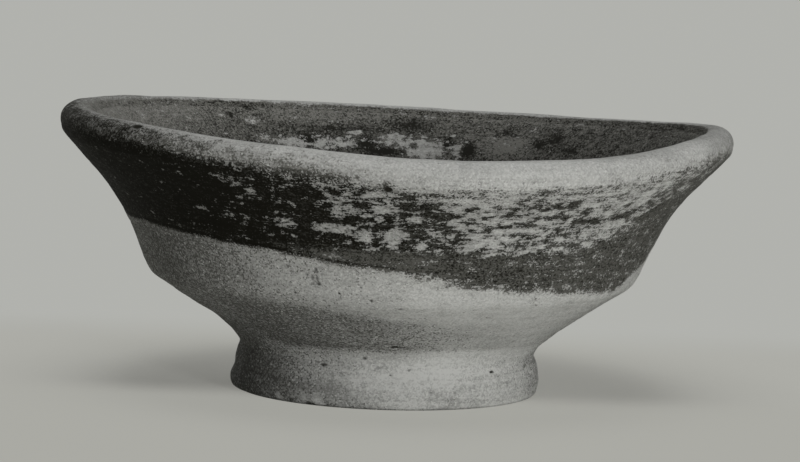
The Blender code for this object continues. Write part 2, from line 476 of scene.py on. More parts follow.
@dataclass(frozen=True)
class Spots:
    """Points of the pot as turned: their bearings in degrees, radii and heights."""

    bearing: Array
    radius: Array
    height: Array

    def places(self) -> Array:
        """Give the points as x, y and z."""
        return turn_round(self.bearing, self.radius, self.height)

    def value(self, knots: Knots) -> Array:
        """Read a value that changes smoothly round the pot."""
        return round_the_pot(self.bearing, knots)

    def patched(self, patches: tuple[Patch, ...]) -> Array:
        """Sum the changes of patches, each falling off as exp(-d^2) from its middle.

        Args:
            patches: The patches to sum.

        Returns:
            The change at each point.
        """
        total = np.zeros(self.bearing.shape)
        for patch in patches:
            across = np.radians(turned_from(self.bearing, patch.bearing)) * self.radius / patch.half_width
            along = (self.height - patch.height) / patch.half_height
            total += patch.change * np.exp(-across ** 2 - along ** 2)
        return total


@dataclass(frozen=True)
class Nick:
    """A pit, dash or chip in the outside: its place, half sizes across and along, depth and darkness."""

    bearing: float
    height: float
    half_width: float
    half_height: float
    depth: float
    stain: float = 1.0


@dataclass(frozen=True)
class ClaySkin:
    """The thrown clay: wheel ridges, lumps, grit and swells, dark grains, painted shade and light, and
    nicks.

    A change of tone, mostly painted shade and light, is taken from the clay's tone: darker where positive.
    """

    ridge_depth: float = 0.07
    ridge_pitch: float = 2.4
    ridge_climb: float = 0.8
    ridge_drift: float = 1.3
    ridge_finer: Colour = (2.3, 1.7, 1.7)
    ridge_share: float = 0.5
    lump_depth: float = 0.22
    lump_size: float = 17.0
    lump_finer: float = 2.4
    lump_share: float = 0.5
    grit_depth: float = 0.02
    grit_size: float = 1.5
    grit_finer: float = 2.1
    grit_share: float = 0.6
    nick_raggedness: float = 0.45
    nick_grain: float = 0.55
    swells: tuple[Patch, ...] = (
        Patch(-95.0, 58.3, 30.0, 3.2, 0.4),
        Patch(-88.0, 25.0, 22.0, 1.5, 0.2),
        Patch(-85.0, 16.7, 25.0, 2.4, -0.65),
        Patch(-90.0, 12.4, 30.0, 1.6, 0.25),
        Patch(-90.0, 8.6, 30.0, 3.2, -0.5),
        Patch(-90.0, 4.9, 30.0, 1.6, -0.5),
        Patch(-75.0, 1.4, 25.0, 1.9, 0.8),
        Patch(90.0, 13.2, 30.0, 1.5, 0.3),
        Patch(90.0, 9.8, 30.0, 2.2, -0.85),
        Patch(90.0, 4.0, 30.0, 3.0, -0.3),
        Patch(90.0, 43.0, 30.0, 8.0, -0.25),
        Patch(88.0, 21.0, 22.0, 3.0, -0.25),
    )
    # Level round the pot: dark grains, and painted shade that darkens the left side.
    grime_and_left_shade_round: Knots = (
        (-150.0, -2.6), (-110.0, 0.2), (-65.0, 0.6), (-45.0, 0.1), (-27.0, -1.2), (-10.0, -1.8), (5.0, -2.2),
        (20.0, -3.0), (50.0, -3.0), (75.0, -2.0), (140.0, -2.4))
    # More under the shoulder: dark grains, and partly painted shade under the shoulder.
    grime_and_shade_under: Knots = (
        (-150.0, 0.3), (-60.0, -0.5), (-30.0, 1.6), (-5.0, 1.8), (14.0, 1.6), (34.0, 0.9), (60.0, 0.6),
        (110.0, 0.3))
    # Height of the shoulder's turn, where the painted shade under it begins.
    grime_and_shade_edge: Knots = (
        (-120.0, 25.0), (-25.0, 24.2), (10.0, 21.0), (60.0, 20.0))
    grime_and_shade_ease: float = 2.5
    neck: float = 13.0
    neck_ease: float = 1.5
    # Painted contact shadow along the edge that the foot rests on.
    painted_contact_shadow: float = 2.2
    contact_shadow_height: float = 0.6
    grime_patches: tuple[Patch, ...] = (
        Patch(15.0, 58.8, 40.0, 3.2, -2.5),
        Patch(75.0, 58.8, 35.0, 3.2, -2.5),
        Patch(-14.0, 56.4, 13.0, 1.9, 2.6),
        Patch(-175.0, 51.5, 26.0, 4.0, -1.5),
        Patch(-55.0, 34.5, 12.0, 4.0, 0.35),
        Patch(-65.0, 6.0, 12.0, 7.0, 0.5),
        Patch(-35.0, 6.0, 8.0, 6.0, 0.3),
        Patch(-42.5, 1.6, 0.7, 0.9, -4.0),
        Patch(-30.5, 1.8, 0.6, 0.6, -3.5),
        Patch(-25.5, 1.6, 0.8, 1.1, -4.5),
        Patch(48.0, 8.0, 8.0, 4.0, 0.9),
        Patch(-45.0, 60.2, 45.0, 1.1, -1.6),
        Patch(-118.0, 56.0, 35.0, 6.0, -1.3),
        Patch(30.0, 25.0, 25.0, 6.0, -0.9),
        Patch(80.0, 8.0, 9.0, 6.0, 1.6),
        Patch(64.0, 22.0, 10.0, 3.0, 0.9),
        Patch(0.0, 7.0, 15.0, 4.0, -1.6),
        Patch(20.0, 24.0, 16.0, 4.0, -0.6),
        Patch(-12.0, 58.0, 20.0, 3.0, -1.2),
        Patch(-20.0, 29.5, 9.0, 3.0, -0.5),
    )
    # Changes of tone, darker where positive: painted shade on the lip's right end and front, painted light
    # and shade on the shoulder, under it and on the foot, tone that offsets the lip's thinned dark grains,
    # and a pale smear on the foot.
    painted_light_and_tone: tuple[Patch, ...] = (
        Patch(15.0, 58.8, 40.0, 3.2, 0.3),
        Patch(75.0, 58.8, 35.0, 3.2, 0.4),
        Patch(88.0, 58.0, 26.0, 5.0, 0.42),
        Patch(35.0, 58.5, 34.0, 3.5, 0.12),
        Patch(20.0, 26.0, 16.0, 3.0, -0.1),
        Patch(38.0, 18.5, 16.0, 4.0, -0.13),
        Patch(-58.0, 20.0, 12.0, 4.0, -0.2),
        Patch(25.0, 9.5, 5.0, 3.0, -0.12),
        Patch(-12.0, 8.0, 6.0, 2.5, -0.12),
        Patch(42.0, 5.0, 16.0, 2.0, 0.12),
    )
    nicks: tuple[Nick, ...] = (
        Nick(-49.2, 60.0, 1.7, 1.2, 0.4),
        Nick(-1.3, 53.1, 0.98, 1.02, 0.5),
        Nick(-11.5, 28.0, 0.35, 0.45, 0.3, 1.0),
        Nick(-18.2, 31.8, 0.45, 0.45, 0.2, 0.66),
        Nick(-17.1, 31.2, 0.5, 1.0, 0.2, 0.6),
        Nick(-16.2, 32.9, 0.5, 0.9, 0.2, 0.64),
        Nick(-16.1, 31.2, 0.5, 0.9, 0.2, 0.62),
        Nick(-15.8, 29.8, 0.6, 0.7, 0.2, 0.7),
        Nick(-17.3, 29.7, 0.8, 0.5, 0.2, 0.56),
        Nick(-15.0, 32.0, 0.45, 0.9, 0.15, 0.48),
        Nick(-16.6, 30.4, 0.9, 0.4, 0.15, 0.48),
        Nick(-4.4, 26.6, 0.35, 0.4, 0.3, 0.9),
        Nick(2.2, 24.8, 0.8, 0.3, 0.2, 0.75),
        Nick(-21.6, 27.4, 0.4, 0.4, 0.2, 0.8),
        Nick(-21.0, 24.0, 1.0, 0.35, 0.2, 0.7),
        Nick(1.8, 14.3, 0.9, 0.6, 0.4),
        Nick(4.3, 14.2, 1.0, 0.45, 0.3, 0.85),
        Nick(-8.8, 11.2, 0.8, 0.3, 0.3, 0.8),
        Nick(43.5, 7.9, 0.9, 0.35, 0.35, 0.85),
        Nick(16.8, 4.1, 0.7, 0.2, 0.2, 0.6),
        Nick(30.5, 8.7, 0.9, 0.2, 0.2, 0.4),
        Nick(8.0, 9.0, 1.2, 0.18, 0.15, 0.4),
        Nick(-4.0, 8.6, 0.8, 0.2, 0.2, 0.5),
        Nick(57.0, 4.4, 1.4, 0.2, 0.2, 0.4),
        Nick(-30.2, 21.3, 0.8, 0.35, 0.3, 0.8),
        Nick(-26.7, 20.8, 0.6, 0.3, 0.25, 0.8),
        Nick(-23.8, 9.2, 1.0, 0.4, 0.3, 0.7),
        Nick(1.8, 7.8, 0.3, 0.25, 0.25, 0.8),
        Nick(45.2, 22.5, 1.4, 0.3, 0.2, 0.5),
        Nick(5.5, 20.5, 0.5, 0.25, 0.2, 0.6),
        Nick(-38.8, 0.7, 1.2, 0.7, 0.45, 0.0),
        Nick(-29.0, 0.3, 1.6, 0.5, 0.5, 0.7),
        Nick(-22.5, 1.1, 0.8, 0.6, 0.35, 0.0),
    )

    def ground(self, spots: Spots) -> Array:
        """Raise the clay unevenly.

        Ridges are a random field along the climb (height plus a share of the radius) that changes slowly
        round the pot. Lumps and grit are random fields in space. The swells are added to them.

        Args:
            spots: The points.

        Returns:
            How far each point stands out along its normal.
        """
        places = spots.places()
        climb = spots.height + self.ridge_climb * spots.radius
        turn = np.radians(spots.bearing)
        wheel = np.stack([climb / self.ridge_pitch, self.ridge_drift * np.cos(turn),
                          self.ridge_drift * np.sin(turn)], axis=-1)
        ridges = layered_noise(wheel, NoiseSeed.RIDGES, self.ridge_finer, self.ridge_share)
        lumps = layered_noise(places / self.lump_size, NoiseSeed.LUMPS, self.lump_finer, self.lump_share)
        grit = layered_noise(places / self.grit_size, NoiseSeed.GRIT, self.grit_finer, self.grit_share)
        uneven = self.ridge_depth * ridges + self.lump_depth * lumps + self.grit_depth * grit
        return uneven + spots.patched(self.swells)

    def grime(self, spots: Spots) -> Array:
        """How thickly dark grains lie on the clay, with painted shade: half of it at 0, and almost none at
        -2.

        It has a value round the pot, raised on the left side as painted shade, with more between the neck
        and the turn of the shoulder, partly painted shade under it, and a painted contact shadow on the edge
        that the foot rests on, and is changed by patches.

        Args:
            spots: The points.

        Returns:
            The level of dark grains and painted shade at each point.
        """
        # Under the shoulder, above the neck: dark grains and partly painted shade.
        under = crossed(spots.value(self.grime_and_shade_edge) - spots.height, self.grime_and_shade_ease)
        under = under * crossed(spots.height - self.neck, self.neck_ease)
        grime = spots.value(self.grime_and_left_shade_round) + spots.value(self.grime_and_shade_under) * under
        # Painted contact shadow at the resting edge.
        grime = grime + self.painted_contact_shadow * smooth_step((self.contact_shadow_height - spots.height) / self.contact_shadow_height)
        return grime + spots.patched(self.grime_patches)

    def wounds(self, spots: Spots, outline: MasterOutline) -> tuple[Array, Array]:
        """Cut the nicks.

        A nick is exp(-(d^4)), where d is the distance from its middle over its half sizes, across by arc
        length and along by distance in the outline's plane, with its edge broken by a random field.

        Args:
            spots: The points.
            outline: The outline that the nicks lie on.

        Returns:
            The depth cut at each point, and how dark it is stained, from 0 to 1.
        """
        broken = lattice_noise(spots.places() / self.nick_grain, NoiseSeed.NICKS)
        ragged = 1.0 + self.nick_raggedness * broken
        depth = np.zeros(ragged.shape)
        stain = np.zeros(ragged.shape)
        for nick in self.nicks:
            radius, height = outline.read(outline.points, outline.outside(nick.height))
            across = np.radians(turned_from(spots.bearing, nick.bearing)) * radius / nick.half_width
            along = np.hypot(spots.radius - radius, spots.height - height) / nick.half_height
            share = np.exp(-((across ** 2 + along ** 2) * ragged) ** 2)
            depth = np.maximum(depth, nick.depth * share)
            stain = np.maximum(stain, nick.stain * share)
        return depth, stain


@dataclass(frozen=True)
class SlipWear:
    """How the slip is worn: its cover, its rub and its thinness.

    The cover is the level that the flake pattern is cut at. At 0 half of the slip is left, at 2 nearly all
    of it, and at -2.5 none. The inner drips change the lining's cover and, the other way, its thinness, so
    that those with a negative change pale it. A reach is a pair: how far under the band's top, or inside the
    crest, a change starts, and the length that it takes.
    """

    lining_edge: float = 58.6
    lining_ease: float = 1.6
    lining_rubbing: float = 0.9
    lining_reach: Limits = (5.0, 3.0)
    even_height: float = 47.0
    even_depth: float = 14.0
    drip_thickness: float = 0.55
    band_edge: float = 56.4
    band_loss: float = 0.6
    loss_reach: Limits = (5.0, 3.0)
    loss_round: Knots = ((-60.0, 0.0), (-12.0, 1.0), (45.0, 1.0), (75.0, 0.0))
    band_rubbing: float = 0.85
    rub_reach: Limits = (5.5, 4.0)
    thin_reach: Limits = (2.0, 3.0)
    bare: float = -3.0
    dip_margin: float = 2.4
    dip_waver: float = 0.3
    dip_waver_rate: float = 9.0
    shelter_ease: float = 2.5
    dip_line: Knots = (
        (-140.0, 37.5), (-60.0, 38.1), (-30.0, 36.7), (-5.0, 34.3), (8.0, 32.6), (18.0, 29.9), (60.0, 26.8),
        (72.0, 30.5), (86.0, 36.0), (130.0, 37.0))
    dip_softness: Knots = (
        (-90.0, 0.9), (-25.0, 1.6), (8.0, 4.5), (40.0, 2.8), (120.0, 1.6))
    band_top: Knots = (
        (-120.0, 57.5), (-51.0, 56.9), (-33.0, 56.0), (-12.0, 55.7), (5.0, 54.6), (20.0, 54.9), (38.0, 55.0),
        (45.0, 56.3), (62.0, 56.5), (140.0, 56.0))
    margin_softness: Knots = (
        (-120.0, 2.4), (-50.0, 1.4), (-20.0, 5.0), (5.0, 4.0), (25.0, 2.2), (60.0, 4.0), (120.0, 3.0))
    band_cover: Knots = (
        (-150.0, 1.8), (-45.0, 2.6), (-18.0, 1.6), (-4.0, 0.55), (12.0, -0.1), (27.0, -0.2), (42.0, 0.2),
        (64.0, 0.55), (110.0, 1.2))
    shelter_line: Knots = (
        (-60.0, 39.0), (-25.0, 38.2), (10.0, 38.2), (32.0, 37.6), (44.0, 38.8), (51.0, 41.5), (58.0, 46.0),
        (66.0, 50.0), (75.0, 53.0), (110.0, 54.0))
    low_cover: Knots = (
        (-60.0, 2.4), (-25.0, 2.0), (0.0, 1.9), (45.0, 1.4), (62.0, 1.4), (80.0, 1.3))
    band_rub: Knots = (
        (-150.0, 0.3), (-45.0, 0.2), (-5.0, 0.15), (20.0, 0.3), (45.0, 0.5), (62.0, 0.65), (120.0, 0.6))
    band_thin: Knots = (
        (-150.0, 0.3), (-70.0, -0.1), (-35.0, -0.2), (-10.0, -0.1), (15.0, 0.1), (45.0, 0.3), (62.0, 0.55),
        (120.0, 0.6))
    bead: Knots = (
        (-100.0, 0.1), (-60.0, 0.3), (-20.0, 0.4), (-8.0, 0.55), (6.0, 0.55), (14.0, 0.0), (110.0, 0.0))
    bead_rise: float = 0.7
    bead_width: float = 0.3
    low_thin: Knots = (
        (-150.0, 0.2), (-30.0, 0.2), (-10.0, 0.7), (2.0, 0.7), (14.0, 0.35), (40.0, 0.3), (70.0, 0.0))
    lining_cover: Knots = (
        (-165.0, 2.4), (-145.0, 2.3), (-115.0, 1.6), (-95.0, 1.2), (0.0, 1.5), (100.0, 2.6), (145.0, 2.5),
        (172.0, 2.3))
    lining_rub: Knots = (
        (-175.0, 0.3), (-160.0, 0.4), (-145.0, 0.7), (-125.0, 0.95), (100.0, 0.3), (140.0, 0.1),
        (160.0, 0.1))
    lining_thin: Knots = (
        (-165.0, 0.4), (-145.0, 0.36), (-125.0, 0.5), (-105.0, 0.8), (0.0, 0.5), (100.0, 0.3),
        (140.0, 0.32), (165.0, 0.41))
    lip_cover: Knots = (
        (-170.0, -0.7), (-110.0, 0.6), (-75.0, 1.6), (-50.0, 0.5), (-35.0, -0.9), (-20.0, -1.5),
        (-10.0, -2.1), (0.0, -2.9), (10.0, -3.5), (45.0, -3.3), (62.0, -3.0), (80.0, -2.8), (100.0, -2.0),
        (120.0, 0.1), (165.0, -0.6))
    lip_ease: float = 1.2
    lip_wear: float = 3.0
    lip_wear_middle: float = -0.3
    lip_wear_width: float = 1.9
    lip_thin: Knots = (
        (-110.0, 0.15), (-75.0, 0.1), (-50.0, 0.15), (-25.0, 0.5), (-8.0, 0.7), (8.0, 0.5), (60.0, 0.4),
        (120.0, 0.3))
    lining_start: Knots = (
        (-100.0, 1.4), (-60.0, 2.4), (60.0, 2.6), (82.0, 1.4), (105.0, 0.9), (170.0, 1.5))
    patches: tuple[Patch, ...] = (
        Patch(-20.5, 43.8, 1.6, 1.4, -2.6),
        Patch(-13.5, 43.2, 3.8, 1.1, -2.0),
        Patch(-33.0, 43.5, 4.5, 1.0, -1.6),
        Patch(-39.5, 44.2, 2.5, 0.9, -1.5),
        Patch(-26.0, 50.3, 3.0, 1.6, -1.5),
        Patch(-8.5, 48.6, 3.6, 1.9, -1.2),
        Patch(-3.0, 48.6, 2.0, 2.0, -1.0),
        Patch(-5.0, 42.4, 6.0, 1.4, -1.3),
        Patch(17.0, 41.7, 9.0, 2.2, -1.0),
        Patch(18.0, 47.8, 6.0, 1.8, -0.5),
        Patch(22.0, 39.0, 4.0, 1.0, -0.8),
        Patch(43.0, 43.2, 9.0, 2.0, -1.3),
        Patch(42.0, 51.0, 12.0, 3.0, -1.1),
        Patch(25.5, 35.8, 3.0, 1.0, -0.9),
        Patch(11.2, 40.5, 1.8, 2.0, 1.4),
        Patch(38.0, 45.6, 6.5, 0.9, 1.3),
        Patch(58.0, 45.8, 4.0, 2.0, 1.4),
        Patch(5.0, 45.0, 2.5, 3.0, 0.7),
        Patch(49.0, 50.0, 8.0, 4.0, -0.6),
        Patch(-17.0, 47.5, 3.0, 2.5, 0.5),
        Patch(-3.0, 34.6, 12.0, 0.35, 2.5),
        Patch(-12.5, 36.4, 2.6, 0.8, -1.8),
    )
    inner_patches: tuple[Patch, ...] = (
        Patch(-115.2, 56.2, 1.4, 1.0, -2.2),
        Patch(-126.8, 56.3, 0.8, 0.6, -1.8),
        Patch(-140.0, 56.5, 1.3, 0.5, -3.6),
        Patch(-147.2, 55.4, 2.2, 0.7, -3.0),
        Patch(-148.5, 51.5, 2.4, 0.9, -3.2),
        Patch(-155.5, 50.9, 3.5, 1.1, -3.6),
        Patch(-164.0, 51.0, 11.0, 1.6, -4.0),
        Patch(-170.5, 53.4, 2.4, 1.1, -3.4),
        Patch(-178.5, 52.6, 3.4, 1.4, -3.6),
        Patch(172.5, 50.6, 7.5, 3.0, -4.3),
        Patch(174.0, 57.0, 1.6, 0.9, -3.0),
        Patch(166.0, 50.7, 1.3, 0.9, -2.0),
        Patch(150.0, 56.5, 3.0, 1.0, -1.2),
        Patch(-112.0, 33.0, 8.0, 2.0, -2.8),
        Patch(-72.0, 46.0, 9.0, 2.0, -3.4),
        Patch(-20.0, 38.0, 8.0, 2.0, -3.0),
        Patch(32.0, 44.0, 10.0, 1.8, -3.2),
        Patch(76.0, 34.0, 7.0, 2.2, -3.0),
        Patch(118.0, 41.0, 8.0, 1.6, -3.0),
    )
    inner_drips: tuple[Patch, ...] = (
        Patch(-142.6, 56.5, 0.8, 0.6, 1.5),
        Patch(-147.5, 58.4, 1.6, 0.4, 1.4),
        Patch(-159.5, 51.6, 1.3, 1.2, 1.4),
        Patch(-164.0, 51.0, 13.0, 2.2, 0.7),
        Patch(172.5, 50.6, 9.0, 3.2, 0.4),
        Patch(156.0, 55.0, 2.6, 0.9, 1.1),
        Patch(147.5, 53.2, 2.2, 1.1, 1.1),
        Patch(-168.0, 54.3, 12.0, 0.9, 0.7),
        Patch(-177.0, 49.4, 3.6, 0.9, 1.4),
        Patch(-173.0, 51.2, 1.4, 1.2, 1.2),
        Patch(177.0, 56.0, 5.0, 1.5, 0.9),
        Patch(168.5, 52.0, 1.3, 1.4, 1.2),
        Patch(163.5, 50.6, 1.9, 1.8, 1.4),
        Patch(144.0, 54.6, 1.8, 1.2, 1.0),
        Patch(138.5, 52.2, 2.8, 0.6, 1.0),
        Patch(155.0, 52.6, 6.0, 2.6, -1.3),
        Patch(-130.0, 57.4, 14.0, 2.2, -0.4),
        Patch(-162.0, 57.2, 13.0, 1.8, -0.5),
        Patch(-168.0, 58.6, 22.0, 0.8, -0.5),
        Patch(150.0, 58.6, 30.0, 0.9, -0.6),
    )

    def shelter(self, spots: Spots) -> Array:
        """Share of the low, evenly rubbed slip, from 0 above the shelter line to 1 below it."""
        return crossed(spots.value(self.shelter_line) - spots.height, self.shelter_ease)

    def near_lip(self, spots: Spots, reach: Limits) -> Array:
        """Share of a change near the lip: a smooth step up from a reach under the band's top."""
        return smooth_step((spots.height - spots.value(self.band_top) + reach[0]) / reach[1])

    def band(self, spots: Spots) -> Array:
        """Cover of the outside, from the lip down past the dip line.

        The band's own level is lowered by rubbing below the lip, gives way below the shelter line to a level
        of its own, and is changed by patches. It drops away below the dip line, which wavers by a random
        field.

        Args:
            spots: The points.

        Returns:
            The cover at each point.
        """
        level = spots.value(self.band_cover)
        level = level - self.band_loss * spots.value(self.loss_round) * self.near_lip(spots, self.loss_reach)
        level = mix(level, spots.value(self.low_cover), self.shelter(spots))
        level = level + spots.patched(self.patches)
        turn = np.radians(spots.bearing)
        ring = np.stack([np.cos(turn), np.sin(turn), np.zeros(turn.shape)], axis=-1)
        waver = self.dip_waver * lattice_noise(self.dip_waver_rate * ring, NoiseSeed.DIP)
        below = spots.value(self.dip_line) + waver - spots.height
        return mix(level, self.bare, crossed(below, spots.value(self.dip_softness)))

    def lined(self, spots: Spots, knots: Knots) -> Array:
        """Read a value of the lining, which eases to the mean of its knots down towards the floor.

        Args:
            spots: The points.
            knots: Pairs of bearing and value, as for the wall under the lip.

        Returns:
            The value at each point.
        """
        mean = sum(knot[1] for knot in knots) / len(knots)
        share = smooth_step((self.even_height - spots.height) / self.even_depth)
        return mix(spots.value(knots), mean, share)

    def cover(self, spots: Spots, drop: Array) -> Array:
        """Cover anywhere on the bowl: the band's outside, the lip's over the crest, the lining's inside.

        Args:
            spots: The points.
            drop: Lengths along the outline from the crest of the lip, positive outside.

        Returns:
            The cover at each point.
        """
        worn = np.exp(-((drop - self.lip_wear_middle) / self.lip_wear_width) ** 2)
        lip = spots.value(self.lip_cover) - self.lip_wear * worn
        lining = self.lined(spots, self.lining_cover)
        lining = lining + spots.patched(self.inner_patches + self.inner_drips)
        under = crossed(spots.value(self.band_top) - spots.height, spots.value(self.margin_softness))
        outside = mix(lip, self.band(spots), under)
        start = spots.value(self.lining_start)
        inside = mix(lip, lining, smooth_step((-drop - start) / self.lining_ease))
        return np.where(drop > 0.0, outside, inside)

    def rub(self, spots: Spots, drop: Array) -> Array:
        """How finely the slip is rubbed, from 0 where it flakes to 1: more near the lip and in the shelter.

        Args:
            spots: The points.
            drop: Lengths along the outline from the crest of the lip, positive outside.

        Returns:
            The rub at each point.
        """
        band = spots.value(self.band_rub)
        worn = np.maximum(self.near_lip(spots, self.rub_reach), self.shelter(spots))
        band = mix(band, 1.0, self.band_rubbing * worn)
        lining = self.lined(spots, self.lining_rub)
        worn = smooth_step((drop + self.lining_reach[0]) / self.lining_reach[1])
        lining = mix(lining, 1.0, self.lining_rubbing * worn)
        return mix(band, lining, smooth_step(-drop / self.lip_ease))

    def thin(self, spots: Spots, drop: Array) -> Array:
        """How thin the slip is, from 0 where it is black to 1 where it is grey.

        It is thicker in a bead that settled just above the dip line, and changes with the lining's drips.

        Args:
            spots: The points.
            drop: Lengths along the outline from the crest of the lip, positive outside.

        Returns:
            The thinness at each point.
        """
        band = spots.value(self.band_thin)
        band = band + spots.value(self.lip_thin) * self.near_lip(spots, self.thin_reach)
        band = band + spots.value(self.low_thin) * self.shelter(spots)
        rise = spots.height - spots.value(self.dip_line) - self.bead_rise
        band = band - spots.value(self.bead) * np.exp(-(rise / self.bead_width) ** 2)
        lining = self.lined(spots, self.lining_thin)
        lining = lining - self.drip_thickness * spots.patched(self.inner_drips)
        return mix(band, lining, smooth_step(-drop / self.lip_ease))


@dataclass
class Surface:
    """A grid of points, with rows along an outline and columns round the pot, and its fields."""

    places: Array
    fields: dict[SurfaceField, Array]

    def join(self, other: "Surface") -> None:
        """Carry the grid on with the rows of another.

        Args:
            other: The grid that follows, with at least the same fields.
        """
        self.places = np.concatenate((self.places, other.places))
        self.fields = {key: np.concatenate((values, other.fields[key]))
                       for key, values in self.fields.items()}

    def make(self, name: str, ends: RowEnds) -> bpy.types.Object:
        """Turn the grid into a mesh object, in metres.

        Columns always close round the pot, and rows close too on a loop. A pole's row shrinks to one
        point, the mean of the row, joined to the next row by triangles.

        Args:
            name: Name of the object and its mesh.
            ends: How the rows end.

        Returns:
            The new object, linked to the scene.
        """
        kept = np.ones(self.places.shape[:2], dtype=bool)
        places = self.places * MILLIMETRE
        if ends is RowEnds.POLES:
            for row in (0, -1):
                kept[row, 1:] = False
                places[row] = places[row].mean(axis=0)
        numbers = np.cumsum(kept).reshape(kept.shape) - 1
        below = np.roll(numbers, -1, axis=0)
        faces = np.stack([numbers, below, np.roll(below, -1, axis=1), np.roll(numbers, -1, axis=1)], axis=-1)
        fans = []
        if ends is RowEnds.POLES:
            fans = faces[0][:, [0, 1, 2]].tolist() + faces[-2][:, [0, 1, 3]].tolist()
            faces = faces[1:-2]
        mesh = bpy.data.meshes.new(name)
        mesh.from_pydata(places[kept], [], faces.reshape(-1, 4).tolist() + fans)
        for key, values in self.fields.items():
            layer = mesh.attributes.new(key.value, "FLOAT", "POINT")
            layer.data.foreach_set("value", values[kept].astype(np.float32))
        mesh.shade_smooth()
        mesh.update()
        piece = bpy.data.objects.new(name, mesh)
        bpy.context.scene.collection.objects.link(piece)
        return piece


class Pot:
    """The pot that all pieces are turned from: its outline, its warp, its skin and its wear."""

    def __init__(self, sizes: PotSizes) -> None:
        """Lay out a pot.

        Args:
            sizes: The pot's driving sizes.
        """
        self.sizes = sizes
        self.outline = MasterOutline(sizes)
        self.kiln = KilnWarp()
        self.skin = ClaySkin()
        self.wear = SlipWear()

    @staticmethod
    def columns(count: int) -> Array:
        """Spread bearings round the pot, closer at the front: t - sin(t) / 2 for even turns t."""
        turn = np.linspace(-math.pi, math.pi, count, endpoint=False)
        return np.degrees(turn - 0.5 * np.sin(turn))

    @staticmethod
    def spots(path: Outline, stations: Array, columns: Array) -> Spots:
        """Find the points at a path's stations, as turned."""
        return Spots(np.broadcast_to(columns, stations.shape), *path.read(path.points, stations))

    def age(self, path: Outline, stations: Array, columns: Array, lift: Array | float = 0.0,
            rough: Array | float = 1.0) -> Surface:
        """Turn a path round the axis and give it the clay's unevenness, nicks and warp.

        A point moves along the path's normal by its lift plus the clay's unevenness less the nicks, and is
        then fired.

        Args:
            path: The outline that the stations are measured on.
            stations: Lengths along the path, as rows and columns.
            columns: Bearing of each column, in degrees.
            lift: How far each point stands off the path.
            rough: Share of the unevenness and nicks that each point takes.

        Returns:
            The aged surface, with its fields of dark marks, of dark grains with painted shade, and of
            changes of tone that are mostly painted shade and light.
        """
        spots = self.spots(path, stations, columns)
        normals = turn_round(spots.bearing, *path.read(path.facing, stations))
        depth, stain = self.skin.wounds(spots, self.outline)
        raised = lift + rough * (self.skin.ground(spots) - depth)
        fired = self.kiln.fire(spots.bearing, spots.places() + normals * raised[..., None])
        return Surface(fired, {
            SurfaceField.MARK: stain,
            SurfaceField.GRIME: self.skin.grime(spots),
            SurfaceField.SHADE: spots.patched(self.skin.painted_light_and_tone),
        })

    def slip(self, surface: Surface, stations: Array, columns: Array) -> None:
        """Add the fields of the slip's cover, rub and thinness to a surface on the master outline.

        Args:
            surface: The surface that gets the fields.
            stations: Its lengths along the master outline.
            columns: Its columns' bearings, in degrees.
        """
        spots = self.spots(self.outline, stations, columns)
        drop = stations - self.outline.crest
        surface.fields[SurfaceField.COVER] = self.wear.cover(spots, drop)
        surface.fields[SurfaceField.RUB] = self.wear.rub(spots, drop)
        surface.fields[SurfaceField.THIN] = self.wear.thin(spots, drop)

    def edges(self, columns: Array) -> tuple[Array, Array, Array]:
        """Find where the slip coats end.

        Args:
            columns: Bearing of each column, in degrees.

        Returns:
            Stations of the lining's edge, and of the outer coat's upper and lower edges.
        """
        lining = self.outline.inside(np.full(columns.shape, self.wear.lining_edge))
        upper = self.outline.outside(np.full(columns.shape, self.wear.band_edge))
        lower = self.outline.outside(round_the_pot(columns, self.wear.dip_line) - self.wear.dip_margin)
        return lining, upper, lower


def spread(first: Array | float, last: Array | float, shares: Array) -> Array:
    """Place rows between two edges: first + share * (last - first), one row for each share."""
    return mix(first, last, shares[:, None])


def level_rows(stations: Array, columns: Array) -> Array:
    """Give every column the same station in each row."""
    return np.repeat(stations[:, None], len(columns), axis=1)


def eased(count: int) -> Array:
    """Give shares from 0 to 1 that crowd at both ends: (1 - cos(pi t)) / 2 for even t."""
    return 0.5 - 0.5 * np.cos(np.linspace(0.0, math.pi, count))


class PotPiece:
    """A piece that stands for one node of the CAD model."""

    node: str
    slot: str

    def build(self, pot: Pot) -> bpy.types.Object:
        """Build the piece's mesh object."""
        raise NotImplementedError

    def dress(self, piece: bpy.types.Object, material: bpy.types.Material) -> None:
        """Give the piece its material and its place in the frame.

        Args:
            piece: The piece's object.
            material: Its finish.
        """
        piece.data.materials.append(material)
        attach(piece, "root")
        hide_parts(self.node)


